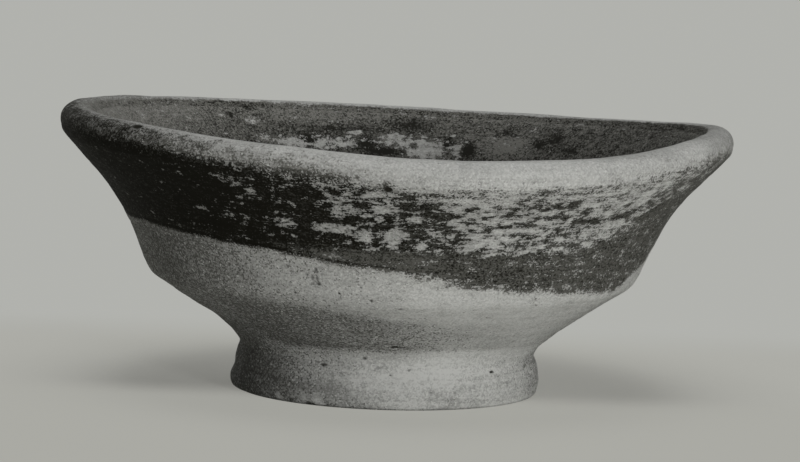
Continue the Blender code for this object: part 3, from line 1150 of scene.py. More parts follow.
@dataclass
class ThrownBowl(PotPiece):
    """The bowl's clay, cut back a little under the slip coats so that they lie nearly flush."""

    node: str = "thrown_bowl"
    slot: str = "bare_clay"
    columns: int = 640
    lining_rows: int = 24
    lip_rows: int = 40
    band_rows: int = 14
    wall_rows: int = 66
    seat_rows: int = 8
    cut_back: float = 0.3
    cut_length: float = 1.3
    skirt: float = 0.35
    seat_points: int = 200
    seat_ease: float = 2.0
    seat_cover: float = -4.0

    def build(self, pot: Pot) -> bpy.types.Object:
        """Build the bowl from its floor over the lip to the middle of its flat seat.

        Rows follow the coats' edges, and crowd towards them under the coats. The surface sinks by the cut
        back times a smooth step of the distance inside a coat's edge, or above the seat.

        Args:
            pot: The pot that the bowl belongs to.

        Returns:
            The bowl's object.
        """
        columns = pot.columns(self.columns)
        lining, upper, lower = pot.edges(columns)
        seat = float(pot.outline.outside(pot.sizes.seat_height))
        stations = np.concatenate((
            spread(0.0, lining, eased(self.lining_rows))[:-1],
            spread(lining, upper, np.linspace(0.0, 1.0, self.lip_rows))[:-1],
            spread(upper, lower, eased(self.band_rows))[:-1],
            spread(lower, seat, np.linspace(0.0, 1.0, self.wall_rows)),
        ))
        inside = smooth_step((lining - stations) / self.cut_length)
        outside = smooth_step(np.minimum(stations - upper, lower - stations) / self.cut_length)
        skirted = smooth_step((stations - seat) / self.cut_length + 1.0)
        lift = -self.cut_back * (inside + outside) - self.skirt * skirted
        surface = pot.age(pot.outline, stations, columns, lift)
        pot.slip(surface, stations, columns)
        surface.join(self._seat(pot, columns))
        return surface.make("bowl_clay", RowEnds.POLES)

    def _seat(self, pot: Pot, columns: Array) -> Surface:
        """Lay the flat seat from its edge to the axis, roughened like the rest inside the foot's bore.

        Args:
            pot: The pot that the bowl belongs to.
            columns: Bearing of each column, in degrees.

        Returns:
            The seat's surface, with no slip on it.
        """
        seat = pot.sizes.seat_height
        edge = pot.outline.read(pot.outline.points, pot.outline.outside(seat))[0] - self.skirt
        radii = np.linspace(edge, 0.0, self.seat_points)
        flat = Outline(np.stack([radii, np.full(radii.shape, seat)], axis=1))
        stations = level_rows(flat.end * np.linspace(0.0, 1.0, self.seat_rows + 1)[1:], columns)
        rough = smooth_step((stations - edge + pot.sizes.top_bore) / self.seat_ease)
        surface = pot.age(flat, stations, columns, 0.0, rough)
        surface.fields[SurfaceField.COVER] = np.full(stations.shape, self.seat_cover)
        surface.fields[SurfaceField.RUB] = np.zeros(stations.shape)
        surface.fields[SurfaceField.THIN] = np.zeros(stations.shape)
        return surface


@dataclass
class SlipCoat(PotPiece):
    """A skin of slip that stands a little proud of the clay and feathers into it at its edges."""

    columns: int = 880
    front_rows: int = 96
    back_rows: int = 10
    proud: float = 0.1
    feather: float = 1.6
    buried: float = 0.07
    back: float = 0.25
    edge_depth: float = 1.2

    def skin(self, pot: Pot, stations: Array, columns: Array, inside: Array) -> Surface:
        """Lay the coat's front and back over the clay.

        The front rises from buried to proud, and the back sinks from just under that to its depth, both by
        a smooth step of the distance inside the coat's edge over the feathered width.

        Args:
            pot: The pot that the coat belongs to.
            stations: Lengths along the outline, with the front's rows before the back's.
            columns: Bearing of each column, in degrees.
            inside: Distances inside the coat's edge, along the outline.

        Returns:
            The coat's surface, with the slip's fields.
        """
        share = smooth_step(inside / self.feather)
        lift = mix(-self.buried, self.proud, share)
        lift[self.front_rows:] = mix(-self.edge_depth * self.buried, -self.back, share[self.front_rows:])
        surface = pot.age(pot.outline, stations, columns, lift)
        pot.slip(surface, stations, columns)
        return surface


@dataclass
class OuterSlipCoat(SlipCoat):
    """The dark band round the outside, from the lip's underside to the tilted dip line."""

    node: str = "outer_slip_coat"
    slot: str = "outer_dark_slip"

    def build(self, pot: Pot) -> bpy.types.Object:
        """Build the band as a closed ring: down its front from the upper edge, and up its back.

        Args:
            pot: The pot that the coat belongs to.

        Returns:
            The coat's object.
        """
        columns = pot.columns(self.columns)
        _, upper, lower = pot.edges(columns)
        front = spread(upper, lower, np.linspace(0.0, 1.0, self.front_rows))
        back = spread(lower, upper, eased(self.back_rows))
        stations = np.concatenate((front, back))
        inside = np.minimum(stations - upper, lower - stations)
        return self.skin(pot, stations, columns, inside).make("outer_slip", RowEnds.LOOP)


@dataclass
class InnerSlipCoat(SlipCoat):
    """The lining inside, from the middle of the floor up the wall to the lip."""

    node: str = "inner_slip_coat"
    slot: str = "inner_dark_slip"
    columns: int = 600
    front_rows: int = 146
    crowding: float = 1.5

    def build(self, pot: Pot) -> bpy.types.Object:
        """Build the lining as a closed lens: out over its front from the axis, and in along its back.

        Rows lie closer towards the lip, by a power of their share.

        Args:
            pot: The pot that the coat belongs to.

        Returns:
            The coat's object.
        """
        columns = pot.columns(self.columns)
        lining = pot.edges(columns)[0]
        front = spread(0.0, lining, 1.0 - np.linspace(1.0, 0.0, self.front_rows) ** self.crowding)
        back = spread(lining, 0.0, eased(self.back_rows))
        stations = np.concatenate((front, back))
        return self.skin(pot, stations, columns, lining - stations).make("inner_slip", RowEnds.POLES)


@dataclass
class RingFoot(PotPiece):
    """The turned ring foot, open underneath."""

    node: str = "ring_foot"
    slot: str = "foot_clay"
    columns: int = 720
    side_rows: int = 44
    ring_rows: int = 30
    skirt: float = 0.35
    skirt_length: float = 0.9
    bore_round: float = 1.2
    bore_lead: float = 0.5
    bore_rough: float = 0.6
    least_rough: float = 0.15
    resting_height: float = 0.8
    level_height: float = 0.02
    inset: float = 2.0

    def build(self, pot: Pot) -> bpy.types.Object:
        """Build the foot as a closed ring: down its side, across its resting edge, up its bore and over.

        Its side sinks near the top, where the luting ring laps over it, and its top stops short of the side.

        Args:
            pot: The pot that the foot belongs to.

        Returns:
            The foot's object.
        """
        sizes = pot.sizes
        top = pot.outline.outside(sizes.foot_height)
        side = pot.outline.points[pot.outline.stations >= top]
        bore = rounded_path(np.array([side[-1] + (self.bore_lead, 0.0), side[-1],
                                      (sizes.top_bore, sizes.foot_height), side[0] - (self.inset, 0.0)]),
                            np.array([self.bore_round, self.bore_round]), sizes.path_step)
        path = Outline(np.concatenate((side[side[:, 0] > side[-1, 0] + self.bore_lead], bore[:-1])))
        columns = pot.columns(self.columns)
        base = float(path.stations[np.argmax(path.points[:, 1] < self.level_height)])
        level = np.concatenate((np.linspace(0.0, base, self.side_rows)[:-1],
                                np.linspace(base, path.end, self.ring_rows)))
        stations = level_rows(level, columns)
        height = path.read(path.points, stations)[1]
        exposed = smooth_step((sizes.foot_height - height) / self.skirt_length)
        resting = smooth_step(height / self.resting_height)
        outer = stations < base
        lift = np.where(outer, -self.skirt * (1.0 - exposed), 0.0)
        bored = self.least_rough + self.bore_rough * resting * exposed
        rough = np.where(outer, np.maximum(resting, self.least_rough), bored)
        surface = pot.age(path, stations, columns, lift, rough)
        surface.places[..., 2] = np.maximum(surface.places[..., 2], 0.0)
        return surface.make("foot_clay", RowEnds.LOOP)


@dataclass
class LutingRing(PotPiece):
    """The ring of slip that joins foot and bowl, smeared a little over both at the neck."""

    node: str = "luting_slip"
    slot: str = "luting_clay"
    columns: int = 720
    smear: float = 1.5
    smear_rows: int = 16
    proud: float = 0.03
    buried: float = 0.08
    gap: float = 0.3
    setback: float = 0.6
    inset: float = 2.0
    body_round: float = 0.3
    body_rows: int = 12

    def build(self, pot: Pot) -> bpy.types.Object:
        """Build the ring as a closed loop: down its smeared outside, in between the seats, and back out.

        Args:
            pot: The pot that the ring belongs to.

        Returns:
            The ring's object.
        """
        sizes = pot.sizes
        columns = pot.columns(self.columns)
        top = float(pot.outline.outside(sizes.seat_height + self.smear))
        bottom = float(pot.outline.outside(sizes.foot_height - self.smear))
        level = np.linspace(top, bottom, self.smear_rows)
        share = smooth_step(np.minimum(level - top, bottom - level) / self.smear)
        lift = level_rows(mix(-self.buried, self.proud, share), columns)
        surface = pot.age(pot.outline, level_rows(level, columns), columns, lift)
        high = sizes.seat_height - self.gap
        low = sizes.foot_height + self.gap
        bore = sizes.top_bore + self.setback
        start = sizes.neck_radius - self.inset
        body = Outline(rounded_path(np.array([(start, low), (bore, low), (bore, high), (start, high)]),
                                    np.array([self.body_round, self.body_round]), sizes.path_step))
        walk = level_rows(np.linspace(0.0, body.end, self.body_rows), columns)
        surface.join(pot.age(body, walk, columns, 0.0, 0.0))
        return surface.make("luting_ring", RowEnds.LOOP)


@dataclass(frozen=True)
class Pattern:
    """A cloudy pattern: size of its largest features, finer layers, their strength, and its squeeze."""

    size: float
    detail: float
    roughness: float = 0.55
    squeeze: Colour = (1.0, 1.0, 1.0)


class Board:
    """A node tree, with short ways to add nodes and join them.

    A colour mix numbers its sockets for every kind of data, so those for colours are named here.
    """

    MIX_SHARE = 0
    MIX_FIRST = 6
    MIX_SECOND = 7
    MIX_RESULT = 2
    SALT_EDGE = (0.9, 0.95)

    def __init__(self, tree: bpy.types.NodeTree) -> None:
        """Start on the node tree of a material, a group or the world."""
        self.tree = tree

    def add(self, kind: str, inputs: dict[str, object] | None = None, **settings: object) -> bpy.types.Node:
        """Add a node.

        Args:
            kind: Blender's name for the kind of node.
            inputs: Input names with the value, or the socket to join, that each one gets.
            settings: The node's own properties.

        Returns:
            The new node.
        """
        node = self.tree.nodes.new(kind)
        for name, value in settings.items():
            setattr(node, name, value)
        for name, value in (inputs or {}).items():
            self.feed(node.inputs[name], value)
        return node

    def feed(self, socket: Socket, value: object) -> None:
        """Give an input a value, or join a socket to it. A plain colour is made opaque.

        Args:
            socket: The input.
            value: The value, colour or socket that it gets.
        """
        if isinstance(value, bpy.types.NodeSocket):
            self.tree.links.new(value, socket)
        elif socket.type == "RGBA":
            socket.default_value = (*value, 1.0)
        else:
            socket.default_value = value

    def sum_up(self, operation: str, first: object, second: object = 0.0, third: object = 0.0) -> Socket:
        """Join values by one of Blender's sums.

        Args:
            operation: Name of the sum.
            first: First value or socket.
            second: Second value or socket.
            third: Third value or socket.

        Returns:
            The socket that carries the result.
        """
        node = self.add("ShaderNodeMath", operation=operation)
        for socket, value in zip(node.inputs, (first, second, third)):
            self.feed(socket, value)
        return node.outputs[0]

    def scaled(self, value: object, factor: object, base: object = 0.0) -> Socket:
        """Multiply a value by a factor and add it to a base."""
        return self.sum_up("MULTIPLY_ADD", value, factor, base)

    def blend(self, share: object, first: object, second: object) -> Socket:
        """Mix two colours.

        Args:
            share: Share of the second colour, as a value or socket.
            first: First colour or socket.
            second: Second colour or socket.

        Returns:
            The socket that carries the mixed colour.
        """
        node = self.add("ShaderNodeMix", data_type="RGBA")
        self.feed(node.inputs[self.MIX_SHARE], share)
        self.feed(node.inputs[self.MIX_FIRST], first)
        self.feed(node.inputs[self.MIX_SECOND], second)
        return node.outputs[self.MIX_RESULT]

    def ease(self, value: object, low: object, high: object) -> Socket:
        """Ease from 0 to 1 as a value goes from low to high, by a smooth step.

        Args:
            value: The value or socket that is eased.
            low: Where it is 0, as a value or socket.
            high: Where it is 1, as a value or socket.

        Returns:
            The socket that carries the share.
        """
        node = self.add("ShaderNodeMapRange", {"Value": value, "From Min": low, "From Max": high},
                        interpolation_type="SMOOTHSTEP")
        return node.outputs["Result"]

    def millimetres(self, stretch: Colour = (1.0, 1.0, 1.0)) -> Socket:
        """Read the piece's own coordinates in millimetres, squeezed along each axis.

        Args:
            stretch: Factor on the coordinate along each axis.

        Returns:
            The socket that carries the coordinates.
        """
        place = self.add("ShaderNodeTexCoord").outputs["Object"]
        sizes = tuple(share / MILLIMETRE for share in stretch)
        return self.add("ShaderNodeMapping", {"Vector": place, "Scale": sizes}).outputs["Vector"]

    def noise(self, pattern: Pattern, place: Socket | None = None) -> Socket:
        """Draw a cloudy pattern about 0.

        Args:
            pattern: The pattern.
            place: The coordinates to read in millimetres, or None for the piece's own, squeezed.

        Returns:
            The socket that carries the pattern.
        """
        place = self.millimetres(pattern.squeeze) if place is None else place
        node = self.add("ShaderNodeTexNoise", {"Vector": place, "Scale": 1.0 / pattern.size,
                                               "Detail": pattern.detail, "Roughness": pattern.roughness})
        return self.sum_up("SUBTRACT", node.outputs[0], 0.5)

    def grains(self, size: float) -> tuple[Socket, Socket]:
        """Draw a pattern of grains, of which about one in twelve is salt.

        Args:
            size: Size of a grain in millimetres.

        Returns:
            A random value from -0.5 to 0.5 for each grain, and 1 on the grains that are salt.
        """
        cells = self.add("ShaderNodeTexVoronoi", {"Vector": self.millimetres(), "Scale": 1.0 / size})
        picked = self.add("ShaderNodeSeparateColor", {"Color": cells.outputs["Color"]})
        return self.sum_up("SUBTRACT", picked.outputs[0], 0.5), self.ease(picked.outputs[1], *self.SALT_EDGE)

    def read(self, key: SurfaceField) -> Socket:
        """Read a field of the piece's surface."""
        return self.add("ShaderNodeAttribute", attribute_name=key.value).outputs["Fac"]


class GroupBoard(Board):
    """The tree of a shader node group, with named inputs and outputs."""

    def __init__(self, name: str, inputs: dict[str, float], outputs: tuple[str, ...]) -> None:
        """Make an empty group.

        Args:
            name: Name of the group.
            inputs: Names of the inputs, with what each one is to begin with.
            outputs: Names of the outputs.
        """
        super().__init__(bpy.data.node_groups.new(name, "ShaderNodeTree"))
        for key, value in inputs.items():
            socket = self.tree.interface.new_socket(key, in_out="INPUT", socket_type="NodeSocketFloat")
            socket.default_value = value
        for key in outputs:
            self.tree.interface.new_socket(key, in_out="OUTPUT", socket_type="NodeSocketFloat")
        self.given = self.add("NodeGroupInput").outputs
        self.result = self.add("NodeGroupOutput").inputs


@dataclass(frozen=True)
class ClayGrain:
    """Shader group that grains fired clay: its patterns, and their weights in tone, dark grains and specks.
    """

    clouds: Pattern = Pattern(17.0, 3.0)
    mottle: Pattern = Pattern(2.0, 4.0, 0.7)
    streaks: Pattern = Pattern(1.0, 3.0, squeeze=(0.05, 0.05, 0.9))
    tooth: Pattern = Pattern(0.45, 2.0, 0.6)
    grain_size: float = 0.33
    base_tone: float = 0.34
    grime_and_shade_tone: float = -0.12
    salt_tone: float = 0.35
    texture: float = 1.1
    texture_by_grime: float = 0.1
    grime_in_grains: float = 4.8
    grime_in_mottle: float = 4.0
    grime_on_salt: float = -2.0
    grime_and_shade_edge: Limits = (-0.6, 0.8)
    specks_per_length: float = 0.45
    least_speck: float = 0.02
    speck_range: float = 0.16
    speck_core: float = 0.4
    speck_depth: float = 0.5

    def build(self) -> bpy.types.NodeTree:
        """Build the group.

        Its tone is a base less the change of tone, mostly painted shade and light, and less a share of the
        level of dark grains, which holds painted shade too, plus clouds and wheel streaks, each times its
        strength, plus a texture of mottling, grains and salt that shows more as that level rises. Dark
        grains are left where the level plus the grains and mottling passes 0, and seldom on salt. Specks are
        dark cores of scattered cells. The height is fine roughness and mottling less the specks.

        Returns:
            The group's tree.
        """
        board = GroupBoard("Clay grain", {"Clouds": 1.0, "Mottle": 1.0, "Streaks": 1.0, "Grit": 1.0,
                                          "Specks": 1.0, "Grime": -2.0, "Shade": 0.0},
                           ("Tone", "Speck", "Grime", "Height"))
        given = board.given
        mottle = board.noise(self.mottle)
        grains, salt = board.grains(self.grain_size)
        # Tone falls with the dark grains' level, which holds painted shade, and with the mostly painted
        # change of tone.
        tone = board.scaled(given["Grime"], self.grime_and_shade_tone, self.base_tone)
        tone = board.sum_up("SUBTRACT", tone, given["Shade"])
        tone = board.scaled(board.noise(self.clouds), given["Clouds"], tone)
        tone = board.scaled(board.noise(self.streaks), given["Streaks"], tone)
        texture = board.scaled(mottle, given["Mottle"])
        texture = board.scaled(salt, self.salt_tone, texture)
        texture = board.scaled(grains, given["Grit"], texture)
        shown = board.scaled(given["Grime"], self.texture_by_grime, self.texture)
        level = board.scaled(grains, self.grime_in_grains, given["Grime"])
        level = board.scaled(mottle, self.grime_in_mottle, level)
        level = board.scaled(salt, self.grime_on_salt, level)
        cells = board.add("ShaderNodeTexVoronoi", {"Vector": board.millimetres(),
                                                   "Scale": self.specks_per_length})
        picked = board.add("ShaderNodeSeparateColor", {"Color": cells.outputs["Color"]}).outputs[0]
        reach = board.scaled(board.scaled(picked, picked), self.speck_range, self.least_speck)
        core = board.ease(cells.outputs["Distance"], reach, board.scaled(reach, self.speck_core))
        speck = board.scaled(core, given["Specks"])
        height = board.sum_up("ADD", board.noise(self.tooth), mottle)
        board.feed(board.result["Tone"], board.scaled(texture, shown, tone))
        board.feed(board.result["Speck"], speck)
        board.feed(board.result["Grime"], board.ease(level, *self.grime_and_shade_edge))
        board.feed(board.result["Height"], board.scaled(speck, -self.speck_depth, height))
        return board.tree


@dataclass(frozen=True)
class WornSlip:
    """The shader group that flakes slip off clay: its patterns, and their weights in what is left of it."""

    flakes: Pattern = Pattern(3.2, 5.0, 0.62, (1.0, 1.0, 1.7))
    streaks: Pattern = Pattern(1.0, 3.0, squeeze=(0.12, 0.12, 1.0))
    threads: Pattern = Pattern(1.0, 2.0, squeeze=(0.3, 0.3, 2.6))
    grain_size: float = 0.32
    flaking: float = 15.0
    flaking_by_rub: float = -9.0
    streaking: float = 4.0
    threading: float = 1.67
    graining: float = 1.2
    graining_by_rub: float = 2.0
    edge: float = 0.3
    edge_by_rub: float = 0.3
    blotching: float = 1.15
    blotching_by_rub: float = -0.7
    salt: float = 0.9
    change: float = 0.5
    change_by_thin: float = 0.8
    wash_edge: Limits = (-2.8, 0.2)

    def build(self) -> bpy.types.NodeTree:
        """Build the group.

        The pattern is the cover, plus flakes, streaks and threads drawn out along the wheel's turn, and
        grains. Rubbing weakens the flakes and strengthens the grains. Slip is left where the pattern passes
        0, with an edge that softens as the slip is rubbed, and a grey wash is left round it. The film is how
        thin the slip is, from 0 to 1, and varies by blotches in the flakes' pattern, which rubbing weakens,
        by the threads and by the grains, more where it is thin.

        Returns:
            The group's tree.
        """
        board = GroupBoard("Worn slip", {"Cover": 1.0, "Rub": 0.0, "Thin": 0.0, "Fineness": 1.0,
                                         "Blotches": 1.4, "Threads": 2.4, "Grains": 1.4},
                           ("Left", "Wash", "Film"))
        given = board.given
        rub = given["Rub"]
        fine = board.add("ShaderNodeVectorMath", {0: board.millimetres(self.flakes.squeeze),
                                                  "Scale": given["Fineness"]}, operation="SCALE")
        flakes = board.noise(self.flakes, fine.outputs["Vector"])
        drawn = board.scaled(board.noise(self.threads), given["Threads"])
        grains, salt = board.grains(self.grain_size)
        pattern = board.scaled(flakes, board.scaled(rub, self.flaking_by_rub, self.flaking), given["Cover"])
        pattern = board.scaled(board.noise(self.streaks), self.streaking, pattern)
        pattern = board.scaled(drawn, self.threading, pattern)
        pattern = board.scaled(grains, board.scaled(rub, self.graining_by_rub, self.graining), pattern)
        edge = board.scaled(rub, self.edge_by_rub, self.edge)
        blotches = board.scaled(flakes, given["Blotches"])
        change = board.scaled(blotches, board.scaled(rub, self.blotching_by_rub, self.blotching), drawn)
        change = board.scaled(grains, given["Grains"], change)
        change = board.scaled(salt, self.salt, change)
        share = board.scaled(given["Thin"], self.change_by_thin, self.change)
        board.feed(board.result["Left"], board.ease(pattern, board.scaled(edge, -1.0), edge))
        board.feed(board.result["Wash"], board.ease(pattern, *self.wash_edge))
        board.feed(board.result["Film"], board.scaled(change, share, given["Thin"]))
        return board.tree


@dataclass(frozen=True)
class ClayFinish:
    """Matt fired clay: its tones, how strongly each grain and dark mark shows, and its roughness."""

    deep: Colour = (0.240, 0.241, 0.228)
    pale: Colour = (0.580, 0.583, 0.560)
    grime: Colour = (0.060, 0.059, 0.051)
    stain: Colour = (0.020, 0.019, 0.015)
    clouds: float = 0.8
    mottle: float = 0.6
    streaks: float = 0.5
    grit: float = 0.7
    specks: float = 0.75
    grime_and_shade_share: float = 0.85
    speck_share: float = 0.7
    mark_edge: Limits = (0.2, 0.85)
    roughness: float = 0.88
    gloss: float = 0.15
    bump: float = 0.00006


@dataclass(frozen=True)
class SlipFinish:
    """Dark slip: its tones where it is thick and where it is rubbed thin, its mottling and its roughness."""

    thick: Colour = (0.010, 0.0095, 0.0068)
    thin: Colour = (0.105, 0.104, 0.093)
    wash: float = 0.5
    fineness: float = 1.0
    blotches: float = 1.4
    threads: float = 2.4
    grains: float = 1.4
    roughness: float = 0.7
    gloss: float = 0.025
    bump: float = 0.00006


class Kiln:
    """Makes the pot's materials from its finishes, with the node groups that they share."""

    def __init__(self) -> None:
        """Build the shared groups."""
        self.grain = ClayGrain().build()
        self.wear = WornSlip().build()

    def material(self, name: str, clay: ClayFinish, slip: SlipFinish | None) -> bpy.types.Material:
        """Make the material of one piece.

        Args:
            name: Name of the material.
            clay: The finish of its clay.
            slip: The finish of the slip on it, if it has any.

        Returns:
            The new material.
        """
        material = bpy.data.materials.new(name)
        material.use_nodes = True
        board = Board(material.node_tree)
        shader = material.node_tree.nodes["Principled BSDF"]
        grain = board.add("ShaderNodeGroup", {
            "Grime": board.read(SurfaceField.GRIME), "Shade": board.read(SurfaceField.SHADE),
            "Clouds": clay.clouds, "Mottle": clay.mottle, "Streaks": clay.streaks, "Grit": clay.grit,
            "Specks": clay.specks,
        }, node_tree=self.grain)
        colour = board.blend(grain.outputs["Tone"], clay.deep, clay.pale)
        # Dark grains, and the painted shade that their field holds.
        colour = board.blend(board.scaled(grain.outputs["Grime"], clay.grime_and_shade_share), colour, clay.grime)
        colour = board.blend(board.scaled(grain.outputs["Speck"], clay.speck_share), colour, clay.stain)
        bump = board.add("ShaderNodeBump", {"Height": grain.outputs["Height"], "Distance": clay.bump})
        shader.inputs["Roughness"].default_value = clay.roughness
        shader.inputs["Specular IOR Level"].default_value = clay.gloss
        if slip is not None:
            wear = board.add("ShaderNodeGroup", {
                "Cover": board.read(SurfaceField.COVER), "Rub": board.read(SurfaceField.RUB),
                "Thin": board.read(SurfaceField.THIN), "Fineness": slip.fineness, "Blotches": slip.blotches,
                "Threads": slip.threads, "Grains": slip.grains,
            }, node_tree=self.wear)
            left = wear.outputs["Left"]
            colour = board.blend(board.scaled(wear.outputs["Wash"], slip.wash), colour, slip.thin)
            colour = board.blend(left, colour, board.blend(wear.outputs["Film"], slip.thick, slip.thin))
            bump = board.add("ShaderNodeBump", {"Height": left, "Distance": slip.bump,
                                                "Normal": bump.outputs["Normal"]})
            rough = board.add("ShaderNodeMapRange", {"Value": left, "To Min": clay.roughness,
                                                     "To Max": slip.roughness})
            board.feed(shader.inputs["Roughness"], rough.outputs["Result"])
            shader.inputs["Specular IOR Level"].default_value = slip.gloss
        mark = board.ease(board.read(SurfaceField.MARK), *clay.mark_edge)
        colour = board.blend(mark, colour, clay.stain)
        board.feed(shader.inputs["Base Color"], colour)
        board.feed(shader.inputs["Normal"], bump.outputs["Normal"])
        return material


@dataclass(frozen=True)
class Lamp:
    """A soft square lamp: where it stands as seen from the bowl, its size, and the level it lights to."""

    name: str
    bearing: float
    elevation: float
    distance: float
    size: float
    level: float

    def hang(self, target: Vector) -> None:
        """Hang the lamp, facing a point.

        A square lamp of power P lights a white card that faces it to P / (pi^2 * distance^2).

        Args:
            target: The point that it lights.
        """
        light = bpy.data.lights.new(self.name, "AREA")
        light.shape = "SQUARE"
        light.size = self.size
        light.energy = self.level * (math.pi * self.distance) ** 2
        lamp = bpy.data.objects.new(self.name, light)
        turn, lift = math.radians(self.bearing), math.radians(self.elevation)
        away = Vector((math.cos(lift) * math.sin(turn), -math.cos(lift) * math.cos(turn), math.sin(lift)))
        lamp.location = target + away * self.distance
        lamp.rotation_euler = away.to_track_quat("Z", "Y").to_euler()
        bpy.context.scene.collection.objects.link(lamp)


@dataclass(frozen=True)
class Studio:
    """A plain pale floor under soft light, with its lengths in metres."""

    lamps: tuple[Lamp, ...] = (
        Lamp("key_lamp", 27.0, 4.5, 1.4, 0.22, 0.495),
        Lamp("top_lamp", 0.0, 80.0, 1.4, 0.9, 0.42),
        Lamp("right_back_lamp", 140.0, 30.0, 1.4, 0.9, 0.16),
        Lamp("left_back_lamp", -140.0, 35.0, 1.4, 0.9, 0.11),
    )
    ambient: float = 0.02
    floor_colour: Colour = (0.85, 0.85, 0.81)
    floor_tone: Colour = (0.400, 0.399, 0.367)
    floor_seen: Colour = (0.86, 0.86, 0.82)
    floor_shading: float = 0.58
    front_shading: float = 0.14
    backdrop: Colour = (0.442, 0.446, 0.422)
    floor_size: float = 14.0
    lit_height: float = 0.03
    behind: Limits = (0.06, 0.12)
    far_off: Limits = (0.25, 0.5)
    in_front: Limits = (-0.024, 0.002)
    out_from: Limits = (0.05, 0.085)
    outward_loss: float = 0.65

    def build(self) -> None:
        """Hang the lamps, lay the floor and light the air."""
        for lamp in self.lamps:
            lamp.hang(Vector((0.0, 0.0, self.lit_height)))
        self._lay_floor()
        self._light_air()
        bpy.context.scene.view_settings.view_transform = "Standard"

    def _lay_floor(self) -> None:
        """Lay the floor as one square."""
        half = self.floor_size / 2.0
        mesh = bpy.data.meshes.new("floor")
        mesh.from_pydata([(-half, -half, 0.0), (half, -half, 0.0), (half, half, 0.0), (-half, half, 0.0)],
                         [], [(0, 1, 2, 3)])
        mesh.materials.append(self._floor_material())
        floor = bpy.data.objects.new("floor", mesh)
        bpy.context.scene.collection.objects.link(floor)

    def _floor_material(self) -> bpy.types.Material:
        """Make the floor's material: matt near the bowl, and an even backdrop tone behind it and far away.

        The camera sees a share of the floor's own shading over an even tone, which keeps its shadows pale,
        and a smaller share in front of the bowl and out from it.

        Returns:
            The new material.
        """
        material = bpy.data.materials.new("floor")
        material.use_nodes = True
        board = Board(material.node_tree)
        shader = material.node_tree.nodes["Principled BSDF"]
        shader.inputs["Roughness"].default_value = 1.0
        shader.inputs["Specular IOR Level"].default_value = 0.0
        place = board.add("ShaderNodeTexCoord").outputs["Object"]
        ahead = board.add("ShaderNodeSeparateXYZ", {"Vector": place}).outputs["Y"]
        reach = board.add("ShaderNodeVectorMath", {0: place}, operation="LENGTH").outputs["Value"]
        far = board.sum_up("MAXIMUM", board.ease(ahead, *self.behind), board.ease(reach, *self.far_off))
        seen = self._seen(board)
        board.feed(shader.inputs["Base Color"], board.blend(seen, self.floor_colour, self.floor_seen))
        glow = board.add("ShaderNodeEmission", {"Color": board.blend(far, self.floor_tone, self.backdrop)})
        shading = board.scaled(board.ease(ahead, *self.in_front), self.floor_shading - self.front_shading,
                               self.front_shading)
        near = board.scaled(board.ease(reach, *self.out_from), -self.outward_loss, 1.0)
        shaded = board.scaled(board.scaled(shading, near), board.sum_up("SUBTRACT", 1.0, far))
        even = board.scaled(board.sum_up("SUBTRACT", 1.0, shaded), seen)
        mixed = board.add("ShaderNodeMixShader", {0: even, 1: shader.outputs["BSDF"],
                                                  2: glow.outputs["Emission"]})
        board.feed(material.node_tree.nodes["Material Output"].inputs["Surface"], mixed.outputs["Shader"])
        return material

    @staticmethod
    def _seen(board: Board) -> Socket:
        """Tell rays that are seen from those that light the bowl.

        Args:
            board: The tree that gets the nodes.

        Returns:
            The socket that is 1 for rays of the camera, a reflection or glass, and 0 for others.
        """
        path = board.add("ShaderNodeLightPath").outputs
        seen = board.sum_up("MAXIMUM", path["Is Camera Ray"], path["Is Glossy Ray"])
        return board.sum_up("MAXIMUM", seen, path["Is Transmission Ray"])

    def _light_air(self) -> None:
        """Fill the world with an even low light, which is seen as the backdrop's tone."""
        world = bpy.data.worlds.new("studio_air")
        world.use_nodes = True
        board = Board(world.node_tree)
        level = tuple(self.ambient * share / max(self.backdrop) for share in self.backdrop)
        colour = board.blend(self._seen(board), level, self.backdrop)
        board.feed(world.node_tree.nodes["Background"].inputs["Color"], colour)
        bpy.context.scene.world = world


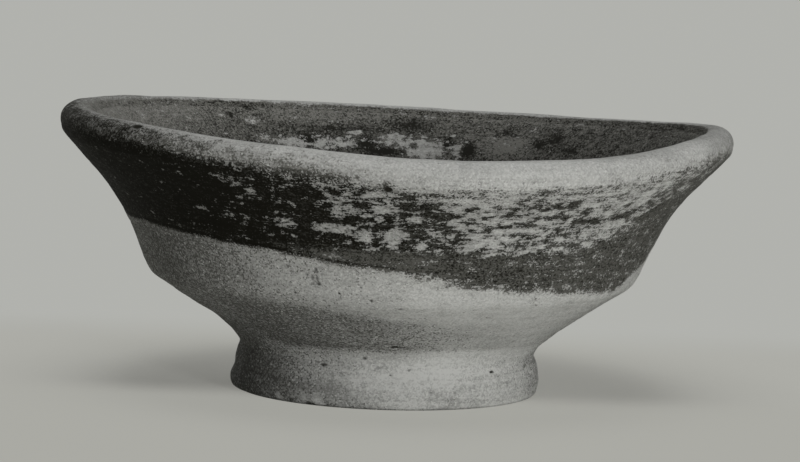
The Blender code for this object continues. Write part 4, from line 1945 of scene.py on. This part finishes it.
@dataclass(frozen=True)
class PhotoCamera:
    """The camera, fitted to the outline of the bowl in a frame of 800 by 462.

    Its place and limits are metres, its turns are degrees, and its lens and sensor are millimetres.
    """

    distance: float = 0.845
    height: float = 0.1232
    pitch: float = 5.909
    yaw: float = 0.105
    roll: float = 1.86
    lens: float = 170.0
    sensor: float = 36.0
    nearest: float = 0.01
    farthest: float = 20.0

    def place(self) -> None:
        """Stand the camera in front of the bowl.

        Its view points down by the pitch and aside by the yaw, and it is turned about that view by the
        roll, which lowers the right side of the picture.
        """
        pitch, yaw, roll = (math.radians(angle) for angle in (self.pitch, self.yaw, self.roll))
        ahead = Vector((math.sin(yaw) * math.cos(pitch), math.cos(yaw) * math.cos(pitch), -math.sin(pitch)))
        right = Vector((math.cos(yaw), -math.sin(yaw), 0.0))
        up = right.cross(ahead)
        across = math.cos(roll) * right + math.sin(roll) * up
        upright = math.cos(roll) * up - math.sin(roll) * right
        data = bpy.data.cameras.new("camera")
        data.lens = self.lens
        data.sensor_width = self.sensor
        data.sensor_fit = "HORIZONTAL"
        data.clip_start = self.nearest
        data.clip_end = self.farthest
        camera = bpy.data.objects.new("camera", data)
        turn = Matrix((across, upright, -ahead)).transposed().to_4x4()
        camera.matrix_world = Matrix.Translation((0.0, -self.distance, self.height)) @ turn
        bpy.context.scene.collection.objects.link(camera)
        bpy.context.scene.camera = camera


def main() -> None:
    """Place the camera and the studio, then build and dress the pot's pieces from the foot up."""
    logging.basicConfig(level=logging.INFO, format="%(name)s: %(message)s")
    PhotoCamera().place()
    Studio().build()
    pot = Pot(PotSizes())
    kiln = Kiln()
    clay = ClayFinish()
    turned_clay = ClayFinish(clouds=1.3, mottle=1.3, streaks=1.3, grit=0.9)
    slip = SlipFinish()
    lip_slip = SlipFinish(thin=(0.165, 0.163, 0.148))
    lining_slip = SlipFinish(thick=(0.022, 0.0215, 0.018), thin=(0.220, 0.218, 0.199), fineness=1.7,
                             blotches=2.6, threads=0.8, grains=1.1)
    pieces = (
        (RingFoot(), turned_clay, None),
        (LutingRing(), clay, None),
        (ThrownBowl(), clay, lip_slip),
        (InnerSlipCoat(), clay, lining_slip),
        (OuterSlipCoat(), clay, slip),
    )
    for maker, ground, coat in pieces:
        piece = maker.build(pot)
        maker.dress(piece, kiln.material(maker.slot, ground, coat))
        LOG.info("%s: %d faces, for %s", piece.name, len(piece.data.polygons), maker.node)


if __name__ == "__main__":
    main()
